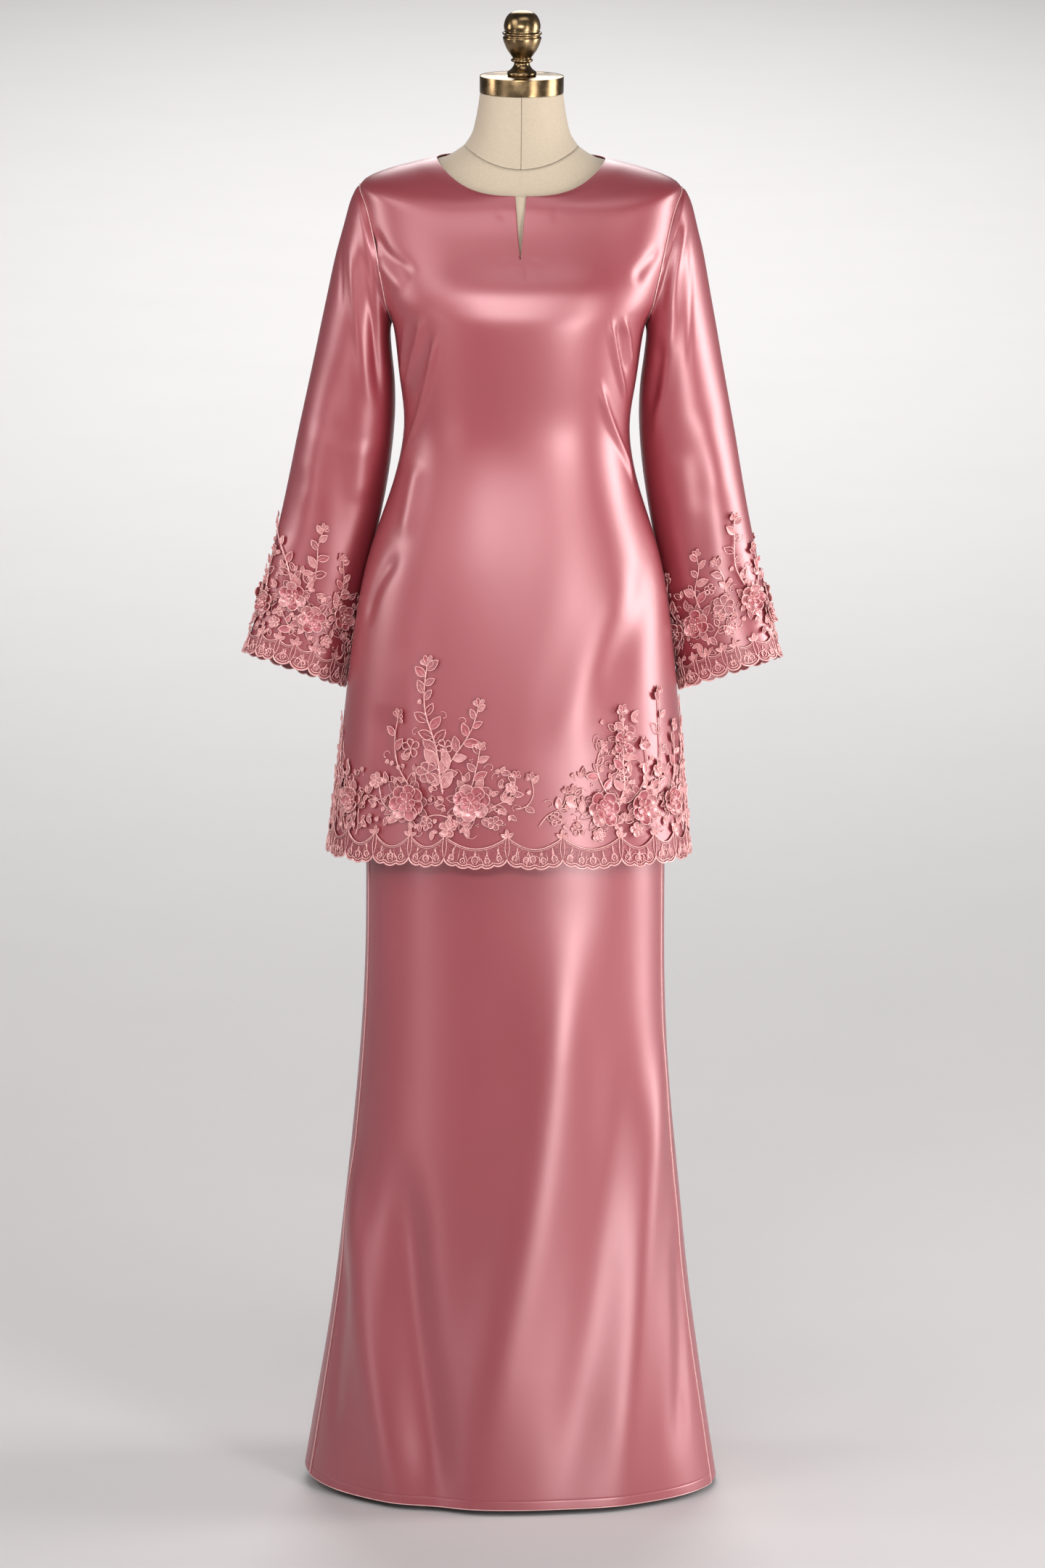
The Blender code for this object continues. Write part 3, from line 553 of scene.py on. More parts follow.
def crease_height(points, usable, creases):
    """How far the creases move a surface outward. Each is drawn on the usable side, seen from the front."""
    height = np.zeros(points.shape[:-1])
    candidates = points[usable]
    for crease in creases:
        seen = smooth_line(np.array(crease.line) * MM, CREASE_POINTS)
        across = candidates[None, :, 0] - seen[:, None, 0]
        up = candidates[None, :, 2] - seen[:, None, 1]
        depth = candidates[np.argmin(across ** 2 + up ** 2, axis=1), 1]
        for _ in range(CREASE_SMOOTHINGS):
            depth[1:-1] = (depth[:-2] + 2 * depth[1:-1] + depth[2:]) / 4
        line = np.column_stack([seen[:, 0], depth, seen[:, 1]])
        width = crease.width * MM
        reach = CREASE_REACH * width
        near = ((points > line.min(axis=0) - reach) & (points < line.max(axis=0) + reach)).all(axis=-1)
        away, part = distance_to_line(points[near], line)
        fade = smooth_step(part, 0, CREASE_FADE_IN) * smooth_step(1 - part, 0, CREASE_FADE_OUT)
        height[near] += crease.height * MM * fade * np.exp(-((away / width) ** 2))
    return height


def wave_height(points, seed):
    """Broad shallow waves, longer up the cloth than across it and round to its side."""
    draw = np.random.default_rng(seed)
    total = np.zeros(points.shape[:-1])
    for _ in range(WAVE_COUNT):
        across = 2 * math.pi / draw.uniform(*WAVE_ACROSS) / MM
        up = 2 * math.pi / draw.uniform(*WAVE_UP) / MM * draw.choice((-1, 1))
        start = draw.uniform(0, 2 * math.pi)
        sideways = points[..., 0] * across + points[..., 1] * across * WAVE_DEPTH_SHARE
        total += np.sin(sideways + points[..., 2] * up + start)
    return total * WAVE_HEIGHT * MM / math.sqrt(WAVE_COUNT)


# ---- edges

EDGE_RADIUS = 0.00075
EDGE_TURNS = np.radians([0, 36, 72, 108, 144, 180])
HEM_COLUMNS = len(EDGE_TURNS) + 1
TURNED_IN = 2.2


def with_hem(points, normal, allowance):
    """The grid with a rounded fold and an allowance turned in before its first row."""
    along = unit(points[1] - points[0])
    edge = points[0]
    rows = [edge + along * (EDGE_RADIUS + allowance) - normal[0] * EDGE_RADIUS * TURNED_IN]
    for turn in EDGE_TURNS[::-1]:
        inset = EDGE_RADIUS * (1 - math.sin(turn))
        depth = EDGE_RADIUS * (1 - math.cos(turn))
        rows.append(edge + along * inset - normal[0] * depth)
    extra = len(rows)
    return (
        np.concatenate([np.stack(rows), points[1:]]),
        np.concatenate([np.repeat(normal[:1], extra, axis=0), normal[1:]]),
    )


def with_hems(points, normal, **allowances):
    """The grid and its normals with hems on its named edges: bottom, top, first and last, in metres."""
    for edge, allowance in allowances.items():
        if edge in ("first", "last"):
            points, normal = points.swapaxes(0, 1), normal.swapaxes(0, 1)
        if edge in ("top", "last"):
            points, normal = with_hem(points[::-1], normal[::-1], allowance)
            points, normal = points[::-1], normal[::-1]
        else:
            points, normal = with_hem(points, normal, allowance)
        if edge in ("first", "last"):
            points, normal = points.swapaxes(0, 1), normal.swapaxes(0, 1)
    return points, normal


# ---- meshes

WELD_DISTANCE = 2e-5
WELD_LENGTH = 1e-7


def grid_faces(rows, columns, closed=False, start=0):
    """Quads over a grid of points, facing out where its rows go up and its columns run from +X."""
    across = columns if closed else columns - 1
    r, c = np.meshgrid(np.arange(rows - 1), np.arange(across), indexing="ij")
    low, high = r * columns, (r + 1) * columns
    after = (c + 1) % columns
    return np.stack([low + c, high + c, high + after, low + after]).reshape(4, -1).T + start


def mesh_object(name, points, faces, materials, finishes=None):
    """A smooth-shaded object from points and quads, with a material number for each quad."""
    data = bpy.data.meshes.new(name)
    points = np.asarray(points, np.float32)
    faces = np.asarray(faces, np.int32)
    data.vertices.add(len(points))
    data.vertices.foreach_set("co", points.ravel())
    data.loops.add(faces.size)
    data.loops.foreach_set("vertex_index", faces.ravel())
    data.polygons.add(len(faces))
    data.polygons.foreach_set("loop_start", np.arange(len(faces), dtype=np.int32) * 4)
    for each in materials:
        data.materials.append(each)
    if finishes is not None:
        data.polygons.foreach_set("material_index", np.asarray(finishes, np.int32))
    data.update(calc_edges=True)
    data.shade_smooth()
    made = bpy.data.objects.new(name, data)
    bpy.context.scene.collection.objects.link(made)
    return made


def grid_object(name, points, materials, closed=False):
    """An object from one grid of points, joined round where it is closed."""
    rows, columns = points.shape[:2]
    return mesh_object(name, points.reshape(-1, 3), grid_faces(rows, columns, closed), materials)


def weld(piece):
    """Merges the doubled points of a piece and drops the faces that collapse."""
    mesh = bmesh.new()
    mesh.from_mesh(piece.data)
    bmesh.ops.remove_doubles(mesh, verts=mesh.verts, dist=WELD_DISTANCE)
    bmesh.ops.dissolve_degenerate(mesh, edges=mesh.edges, dist=WELD_LENGTH)
    mesh.to_mesh(piece.data)
    mesh.free()
    piece.data.shade_smooth()


def placed(piece, slot, *nodes):
    """The piece riding on the object's one body, in place of its solids."""
    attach(piece, "root")
    if nodes:
        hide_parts(*nodes)


# ---- tunic

# The satin stops a few millimetres above the notches of its lace.
TUNIC_HEM_ROW = 0.055
SLEEVE_HEM_ROW = 0.11
SEAM_DETAIL = np.array([1.2, 2.6, 3.6, 4.4, 5.2, 6.4, 8.0]) * MM
QUARTER_GIRTH = 0.24
TUNIC_HEMS = {"bottom": 0.010, "top": 0.014}
TUNIC_SEAM = 0.006
SLIT_HEM = 0.009
SLIT_EASE = 0.030
SLIT_FADE = (0.0002, 0.0016)
TAUT_HEIGHTS = (1.36, 1.20)
TAUT_WAVES = 0.25
FINE_STEPS = 1200
FINE_ANGLES = 2001

GridSteps = namedtuple("GridSteps", "up across")
TUNIC_STEPS = {"front": GridSteps(0.0036, 0.0030), "back": GridSteps(0.0056, 0.0042)}


def spaced(length, step, low_detail=(), high_detail=()):
    """Places along a length, about a step apart, with closer ones a set way in from either end."""
    low, high = np.asarray(low_detail), np.asarray(high_detail)
    start = low.max() + step if len(low) else step
    end = length - (high.max() + step if len(high) else step)
    even = np.linspace(start, end, max(2, round((end - start) / step) + 1))
    return np.unique(np.concatenate([[0], low, even, length - high, [length]]))


def angles_for(surface, row, first, last, places):
    """Angles at given distances along a ring from its first angle, scaled to reach its last."""
    fine = np.linspace(first, last, FINE_ANGLES)
    along = lengths_along(surface(row + 0 * fine, fine))
    return np.interp(places / places[-1] * along[-1], along, fine)


def tunic_grid(side):
    """Rows and angles over the front or back panel, and its middle column's number."""
    steps = TUNIC_STEPS[side]
    rows = np.linspace(TUNIC_HEM_ROW, NECKLINE_ROW, FINE_STEPS)
    middle = math.pi / 2 if side == "front" else 3 * math.pi / 2
    along = lengths_along(tunic_surface(rows, rows * 0 + middle))
    row = np.interp(spaced(along[-1], steps.up), along, rows)
    row = np.unique(np.concatenate([row, [UNDERARM_ROW, SHOULDER_ROW]]))
    places = spaced(QUARTER_GIRTH, steps.across, SEAM_DETAIL)
    half = angles_for(tunic_surface, UNDERARM_ROW, 0, math.pi / 2, places)
    parts = np.concatenate([half, math.pi - half[-2::-1]]) / math.pi
    edge = armhole_angle(row, side)[:, None]
    angle = edge + (math.pi - 2 * edge) * parts[None, :]
    if side == "back":
        angle = 2 * math.pi - angle
    return row[:, None] + 0 * angle, angle, len(half) - 1


def tunic_height(points, side):
    """How far the tunic's folds move its panel's own points outward. The taut chest hardly waves."""
    usable = points[..., 1] < 0 if side == "front" else points[..., 1] > 0
    creases = TUNIC_FRONT_CREASES if side == "front" else TUNIC_BACK_CREASES
    free = smooth_step(points[..., 2], *TAUT_HEIGHTS) * (1 - TAUT_WAVES) + TAUT_WAVES
    return crease_height(points, usable, creases) + wave_height(points, TUNIC_WAVES) * free


def tunic_points(side, row, angle):
    """The tunic's displaced surface and its normals."""
    base = tunic_surface(row, angle)
    normal = normals(tunic_surface, row, angle)
    shift = np.array([0, -GAP / 2 if side == "front" else GAP / 2, 0])
    return base + shift + normal * tunic_height(base, side)[..., None], normal


def slit_opening(points, row, middle):
    """How far each side of the slit is from the middle, for each row."""
    foot = np.interp(SLIT_FOOT_ROW, row[:, middle], points[:, middle, 2])
    rise = (points[:, middle, 2] - foot) / (points[-1, middle, 2] - foot)
    return np.clip(rise, 0, 1) * SLIT_WIDTH / 2


def at_edge(edge, count):
    """The columns of a grid that are nearest to its first or last edge."""
    return slice(0, count) if edge == "first" else slice(-count, None)


def slit_half(points, normal, opening, way, slit):
    """One half of the front, its cloth eased aside near the slit and hemmed along that edge."""
    points = points.copy()
    points[..., 0] += way * opening[:, None] * np.clip(1 - np.abs(points[..., 0]) / SLIT_EASE, 0, 1) ** 2
    middle = points[:, at_edge(slit, 1)]
    full, _ = with_hems(points, normal, **{slit: SLIT_HEM})
    hem = at_edge(slit, HEM_COLUMNS)
    amount = smooth_step(opening, *SLIT_FADE)[:, None, None]
    full[:, hem] = middle + (full[:, hem] - middle) * amount
    return full


def half_grid(half, seam_normal, seam, slit):
    """A half with all its hems, each folded square to the cloth beside it."""
    beside = grid_normals(half, False)
    beside[:, [0, -1]] = beside[:, [1, -2]]
    edged, _ = with_hems(half, beside, **{seam: TUNIC_SEAM})
    beside = grid_normals(edged, False)
    beside[:, at_edge(seam, HEM_COLUMNS)] = seam_normal
    by_slit = beside[:, at_edge(slit, HEM_COLUMNS + 1)]
    beside[:, at_edge(slit, HEM_COLUMNS)] = by_slit[:, at_edge(seam, 1)].copy()
    return with_hems(edged, beside, **TUNIC_HEMS)[0]


def make_tunic_front(materials):
    """The front, made as two halves that meet below the slit."""
    row, angle, middle = tunic_grid("front")
    points, normal = tunic_points("front", row, angle)
    opening = slit_opening(points, row, middle)
    all_points, all_faces, start = [], [], 0
    halves = ((slice(0, middle + 1), 1, "first", "last"), (slice(middle, None), -1, "last", "first"))
    for columns, way, seam, slit in halves:
        half = slit_half(points[:, columns], normal[:, columns], opening, way, slit)
        edged = half_grid(half, normal[:, at_edge(seam, 1)], seam, slit)
        all_faces.append(grid_faces(*edged.shape[:2], start=start))
        all_points.append(swung(edged).reshape(-1, 3))
        start += len(all_points[-1])
    piece = mesh_object("tunic_front_cloth", np.concatenate(all_points), np.concatenate(all_faces), materials)
    weld(piece)
    placed(piece, "satin", "tunic_front")


def make_tunic_back(materials):
    row, angle, _ = tunic_grid("back")
    points, normal = tunic_points("back", row, angle)
    edged, _ = with_hems(points[:, ::-1], normal[:, ::-1], first=TUNIC_SEAM, last=TUNIC_SEAM, **TUNIC_HEMS)
    placed(grid_object("tunic_back_cloth", swung(edged), materials), "satin", "tunic_back")


# ---- sleeves

CAP_ROWS = 4
SLEEVE_STEP = 0.0042
SLEEVE_FACES_ROUND = 128
SLEEVE_EVEN_ROW = 7
SLEEVE_HEMS = {"bottom": 0.012, "top": 0.004}
SLEEVE_EDGE = 0.02
ARMHOLE_STEPS = 400
SLEEVE_STEPS = 600


def armhole_loop(angle):
    """Points of the right armhole at the sleeve's angles, from the shoulder down the front and back up."""
    rows = np.linspace(SHOULDER_ROW, UNDERARM_ROW, ARMHOLE_STEPS)
    loop = np.empty((len(angle), 3))
    for side, chosen in (("front", angle <= math.pi), ("back", angle > math.pi)):
        edge = armhole_angle(rows, side)
        line = tunic_surface(rows, edge if side == "front" else 2 * math.pi - edge)
        drop = (line[0, 2] - line[:, 2]) / (line[0, 2] - line[-1, 2])
        turn = np.arccos(np.clip(1 - 2 * drop, -1, 1))
        wanted = np.where(angle <= math.pi, angle, 2 * math.pi - angle)[chosen]
        loop[chosen] = np.stack([np.interp(wanted, turn, line[:, k]) for k in range(3)], axis=-1)
    return loop


def sleeve_grid():
    """The right sleeve's plain surface, from the cuff up to its armhole, and its angles."""
    rows = np.linspace(1, SLEEVE_CUFF - SLEEVE_HEM_ROW, SLEEVE_STEPS)
    along = lengths_along(sleeve_surface(rows, rows * 0 + math.pi / 2))
    row = np.interp(spaced(along[-1], SLEEVE_STEP), along, rows)[::-1]
    places = np.linspace(0, 1, SLEEVE_FACES_ROUND + 1)
    angle = angles_for(sleeve_surface, SLEEVE_EVEN_ROW, 0, 2 * math.pi, places)[:-1]
    lower = sleeve_surface(row[:, None] + 0 * angle[None, :], angle[None, :] + 0 * row[:, None])
    away = np.array([math.cos(ARMHOLE_LEAN), 0, -math.sin(ARMHOLE_LEAN)])
    top = armhole_loop(angle) + SLEEVE_GAP * away
    leave = (lower[-1] - lower[-2]) / np.linalg.norm(lower[-1] - lower[-2], axis=-1, keepdims=True)
    reach = np.linalg.norm(top - lower[-1], axis=-1, keepdims=True)
    caps = [
        (2 * t ** 3 - 3 * t ** 2 + 1) * lower[-1]
        + (t ** 3 - 2 * t ** 2 + t) * leave * reach
        + (3 * t ** 2 - 2 * t ** 3) * top
        + (t ** 3 - t ** 2) * (top - lower[-1])
        for t in np.linspace(0, 1, CAP_ROWS + 1)[1:]
    ]
    return np.concatenate([lower, np.stack(caps)]), angle


def sleeve_height(points, angle, side):
    """How far the sleeve's folds move it outward, for the sleeve on one side."""
    front = np.broadcast_to(np.sin(angle) > SLEEVE_EDGE, points.shape[:-1])
    back = np.broadcast_to(np.sin(angle) < -SLEEVE_EDGE, points.shape[:-1])
    creases = SLEEVE_RIGHT_FRONT if side == "right" else SLEEVE_LEFT_FRONT
    height = crease_height(points, front, creases) + crease_height(points, back, SLEEVE_BACK)
    return height + wave_height(points, SLEEVE_WAVES[side])


def make_sleeve(side, materials):
    base, angle = sleeve_grid()
    normal = grid_normals(base, True)
    points = base + normal * sleeve_height(base, angle[None, :], side)[..., None]
    edged, _ = with_hems(points, normal, **SLEEVE_HEMS)
    if side == "left":
        edged = mirrored(edged)[:, ::-1]
    piece = grid_object(f"sleeve_{side}_cloth", swung(edged), materials, closed=True)
    placed(piece, "satin", f"sleeve_{side}")


def make_armhole_cords(materials):
    """The rolled edge of each sleeve where it is set into its armhole, a pale cord that is partly a painted
    highlight along the seam.
    """
    base, _ = sleeve_grid()
    loop, normal = base[-1], grid_normals(base, True)[-1]
    for side in ("right", "left"):
        line, out = (loop, normal) if side == "right" else (mirrored(loop)[::-1], mirrored(normal)[::-1])
        edge_cord(f"armhole_{side}_cord", [swung(line)], [out], ARMHOLE_CORD_RADIUS, materials, True)


# ---- skirt

HEM_DETAIL = np.array([1.5, 4.0, 8.0, 9.0, 9.6, 10.0, 10.4, 11.0, 12.5]) * MM
SKIRT_STEPS = {"front": GridSteps(0.0062, 0.0044), "back": GridSteps(0.0085, 0.0056)}
CORD_STEPS = GridSteps(0.0100, 0.0044)
SKIRT_PANEL_WIDTH = 0.52
SKIRT_EVEN_HEIGHT = 0.3
SKIRT_HEMS = {"first": 0.008, "last": 0.008, "bottom": 0.012, "top": 0.010}
SKIRT_SIDE = 0.02
LOOSE_HEIGHTS = (1.2, 0.7)
WAIST_WAVES, LOOSE_WAVES = 0.3, 0.9

# A groove lies a way in from its edge, and has a depth and a width.
Groove = namedtuple("Groove", "inset depth width")
STITCHING = Groove(0.010, 0.00030, 0.0006)
WELT = Groove(0.0044, 0.00045, 0.0007)

EDGE_CORD_RADIUS = 0.0011
HEM_CORD_RADIUS = 0.0007
ARMHOLE_CORD_RADIUS = 0.0008
CORD_SIDES = 6
CORD_STAND = 0.3


def groove_depth(inset, groove):
    return groove.depth * np.exp(-(((inset - groove.inset) / groove.width) ** 2))


def skirt_height(points, side):
    """How far the skirt's folds move its panel's own points outward. It waves most where it hangs free."""
    usable = points[..., 1] < SKIRT_SIDE if side == "front" else points[..., 1] > -SKIRT_SIDE
    creases = SKIRT_FRONT_CREASES if side == "front" else SKIRT_BACK_CREASES
    waves = WAIST_WAVES + LOOSE_WAVES * smooth_step(points[..., 2], *LOOSE_HEIGHTS)
    return crease_height(points, usable, creases) + wave_height(points, SKIRT_WAVES) * waves


def skirt_panel(side, steps):
    """A skirt panel's displaced points and its normals, with its welts and its hem's stitch groove."""
    seam = SKIRT_SEAM_ANGLE
    first, last = (seam, math.pi - seam) if side == "front" else (math.pi - seam, 2 * math.pi + seam)
    places = spaced(SKIRT_PANEL_WIDTH, steps.across, SEAM_DETAIL, SEAM_DETAIL)
    angles = angles_for(skirt_surface, SKIRT_EVEN_HEIGHT, first, last, places)
    heights = SKIRT[0].z + spaced(SKIRT_TOP - SKIRT[0].z, steps.up, HEM_DETAIL)
    z, angle = np.meshgrid(heights, angles, indexing="ij")
    base = skirt_surface(z, angle)
    normal = normals(skirt_surface, z, angle)
    height = skirt_height(base, side)
    height -= groove_depth(np.minimum(places, places[-1] - places)[None, :], WELT)
    height -= groove_depth(z - SKIRT[0].z, STITCHING)
    points = base + normal * height[..., None]
    for column, way in ((0, 1), (-1, -1)):
        points[:, column] += unit(points[:, column + way] - points[:, column]) * GAP / 2
    return points, normal


def edge_cord(name, lines, out, radius, materials, closed=False, slot="satin"):
    """Fine corded edges along lines on the cloth, each with the cloth's normals."""
    turns = whole_turn(CORD_SIDES)
    points, faces, start = [], [], 0
    for line, normal in zip(lines, out):
        side = unit(np.cross(unit(np.gradient(line, axis=0)), normal))
        around = np.cos(turns)[None, :, None] * side[:, None] - np.sin(turns)[None, :, None] * normal[:, None]
        grid = (line + CORD_STAND * radius * normal)[:, None] + radius * around
        if closed:
            grid = np.concatenate([grid, grid[:1]])
        points.append(grid.reshape(-1, 3))
        faces.append(grid_faces(len(grid), CORD_SIDES, True, start))
        start += len(points[-1])
    placed(mesh_object(name, np.concatenate(points), np.concatenate(faces), materials), slot)


def make_skirt_edges(materials):
    """The pale corded edge down both seams of the skirt's front and along its hem. Its pale colour is partly
    a painted highlight along the seams' rolled edges.
    """
    points, normal = skirt_panel("front", CORD_STEPS)
    columns = (1, points.shape[1] - 2)
    lines, out = [points[:, column] for column in columns], [normal[:, column] for column in columns]
    edge_cord("skirt_seam_cord", lines, out, EDGE_CORD_RADIUS, materials)
    edge_cord("skirt_hem_cord", [points[0]], [normal[0]], HEM_CORD_RADIUS, materials)


def make_skirt_panel(side, materials):
    edged, _ = with_hems(*skirt_panel(side, SKIRT_STEPS[side]), **SKIRT_HEMS)
    placed(grid_object(f"skirt_{side}_cloth", edged, materials), "satin", f"skirt_{side}")


# ---- waistband

BAND_STAND = 0.0034
BAND_STEP = 0.0016
BAND_GATHERS = 84
BAND_GATHER_HEIGHT = 0.0005
BAND_CHANNELS = (7.0, 13.5, 20.0)
BAND_CHANNEL_WIDTH = 0.9
BAND_CHANNEL_DEPTH = 0.0005
BAND_HEM = 0.004


def make_waistband(materials):
    """The skirt's elastic band, gathered finely round the form, with three rows of stitching."""
    turn = whole_turn(4 * BAND_GATHERS)
    height = spaced(BAND_TOP - SKIRT_TOP - GAP, BAND_STEP)
    z, angle = np.meshgrid(SKIRT_TOP + GAP + height, turn, indexing="ij")
    base = ring(FORM_COLUMNS, z, angle)
    normal = grid_normals(base, True)
    channel = sum(np.exp(-(((height / MM - at) / BAND_CHANNEL_WIDTH) ** 2)) for at in BAND_CHANNELS)[:, None]
    ripple = np.sin(BAND_GATHERS * angle + 0.6 * np.sin(5 * angle)) * (1 - 0.6 * channel)
    stand = BAND_STAND + BAND_GATHER_HEIGHT * (ripple - 1) - BAND_CHANNEL_DEPTH * channel
    points, _ = with_hems(base + normal * stand[..., None], normal, bottom=BAND_HEM, top=BAND_HEM)
    band = grid_object("skirt_waistband_elastic", points, materials, closed=True)
    placed(band, "elastic", "skirt_waistband")


# ---- lace ground

# Lace is drawn flat, in millimetres: along its hem to the right as it is seen, up from the hem, and out
# from the cloth. A ground says where each flat place is on the cloth.

GROUND_STEP = 2.0
HEM_GROUND_UP = np.arange(-16, 262, 2.5)
CUFF_GROUND_UP = np.arange(-14, 206, 2.5)
HEM_GROUND_ROWS = np.arange(-0.25, 3.3, 0.025)
CUFF_GROUND_ROWS = np.arange(SLEEVE_CUFF + 0.5, SLEEVE_CUFF - 5, -0.04)
CUFF_OVERLAP = 4
HALF_FINE = 750
LACE_REST = 0.9


class Ground:
    """The shaped cloth under a piece of lace, as an even grid of places along and up."""

    def __init__(self, along, up, points, normal, mirror=False):
        self.along, self.up = along, up
        self.points, self.normal = points, normal
        self.mirror = mirror

    def place(self, flat):
        """World points of flat ones."""
        across = (flat[:, 0] - self.along[0]) / (self.along[1] - self.along[0])
        rise = (flat[:, 1] - self.up[0]) / (self.up[1] - self.up[0])
        across = np.clip(across, 0, len(self.along) - 1.001)
        rise = np.clip(rise, 0, len(self.up) - 1.001)
        i, j = across.astype(int), rise.astype(int)
        x, y = (across - i)[:, None], (rise - j)[:, None]

        def read(grid):
            low = grid[j, i] * (1 - x) + grid[j, i + 1] * x
            high = grid[j + 1, i] * (1 - x) + grid[j + 1, i + 1] * x
            return low * (1 - y) + high * y

        return read(self.points) + unit(read(self.normal)) * (flat[:, 2:] + LACE_REST) * MM


def rows_at_heights(surface, rows, hem_row, angle, up):
    """The surface row at each height above the hem, for each angle."""
    base = surface(rows[:, None] + 0 * angle, angle + 0 * rows[:, None])
    steps = np.linalg.norm(np.diff(base, axis=0), axis=-1) / MM
    height = np.concatenate([np.zeros((1, len(angle))), np.cumsum(steps, axis=0)])
    height -= height[np.argmin(np.abs(rows - hem_row))]
    return np.stack([np.interp(up, height[:, k], rows) for k in range(len(angle))], axis=-1)


def hem_ground(side):
    """The ground of the tunic's front or back, and how far it goes left and right of its middle."""
    turn = np.linspace(0, math.pi, 2 * HALF_FINE + 1) + (0 if side == "front" else math.pi)
    arc = lengths_along(tunic_surface(0 * turn, turn)) / MM
    half = arc[HALF_FINE]
    along = np.arange(half - arc[-1], half + 0.01, GROUND_STEP)
    angle = np.interp(half - along, arc, turn)
    row = rows_at_heights(tunic_surface, HEM_GROUND_ROWS, 0, angle, HEM_GROUND_UP)
    points, normal = tunic_points(side, row, angle + 0 * row)
    return Ground(along, HEM_GROUND_UP, swung(points), normal), -along[0], along[-1]


def cuff_ground(side):
    """The ground of a whole cuff, and how far it goes left and right of its front's middle."""
    turn = np.linspace(math.pi / 2, -3 * math.pi / 2, 4 * HALF_FINE + 1)
    arc = lengths_along(sleeve_surface(SLEEVE_CUFF + 0 * turn, turn)) / MM
    half = arc[-1] / 2
    along = np.arange(-half - CUFF_OVERLAP, half + CUFF_OVERLAP + 0.01, GROUND_STEP)
    angle = np.interp(along % arc[-1], arc, turn) % (2 * math.pi)
    row = rows_at_heights(sleeve_surface, CUFF_GROUND_ROWS, SLEEVE_CUFF, angle, CUFF_GROUND_UP)
    angle = angle + 0 * row
    base = sleeve_surface(row, angle)
    normal = -normals(sleeve_surface, row, angle)
    points = base + normal * sleeve_height(base, angle, side)[..., None]
    if side == "left":
        points, normal = mirrored(points), mirrored(normal)
    return Ground(along, CUFF_GROUND_UP, swung(points), normal, side == "left"), half, half


# ---- needlework

# A lace's materials by number. An open petal or leaf has no filling, only its cord.
# The veil filling is a net whose dark openings are also painted shade under the raised work.
THREAD, PETAL, PALE, BEAD, VEIL_AND_SHADE = range(5)
OPEN = None
FLOWER_FILLINGS = {"full": PETAL, "net": VEIL_AND_SHADE, "pale": PALE, "open": OPEN}
LEAF_FILLINGS = (VEIL_AND_SHADE, PALE, OPEN)
SPRAY_FILLINGS = (VEIL_AND_SHADE, PALE, PETAL, OPEN)

# Shares of the small motifs. Leaves come first, in the order of their fillings.
RUFF_SHARES = (0.28, 0.22, 0.24, 0.14, 0.12)  # then buds and tendrils
SPRAY_SHARES = (0.24, 0.20, 0.22, 0.18, 0.16)  # then buds
FILLING_SHARES = (0.20, 0.22, 0.12, 0.16, 0.16, 0.14)  # then tendrils, buds and beads

# Cord radii, in millimetres. A thin cord has four sides, and a cord's ends are a share as thick.
VEIN_CORD, STAMEN_CORD, BUD_CORD, TENDRIL_CORD, WAVY_CORD, PETAL_CORD = 0.34, 0.36, 0.45, 0.48, 0.6, 0.66
FOUR_SIDED_BELOW = 0.62
BLUNT_END = 0.35
CORD_STEP = 2.4

RUFF_LEAVES = 8
STAMENS = 6
FULL_SPREAD = 0.46
FILLING_TRIES = 60
FAR_AWAY = (1e3, 1e3)


def toward(heading):
    """A step one long at a heading in degrees."""
    return np.array([math.cos(math.radians(heading)), math.sin(math.radians(heading))])


def turned(local, place, heading):
    """Local points, ahead and to the left, turned to a heading in degrees and moved to a place."""
    c, s = toward(heading)
    along = place[0] + local[..., 0] * c - local[..., 1] * s
    up = place[1] + local[..., 0] * s + local[..., 1] * c
    return np.stack([along, up, local[..., 2]], axis=-1)


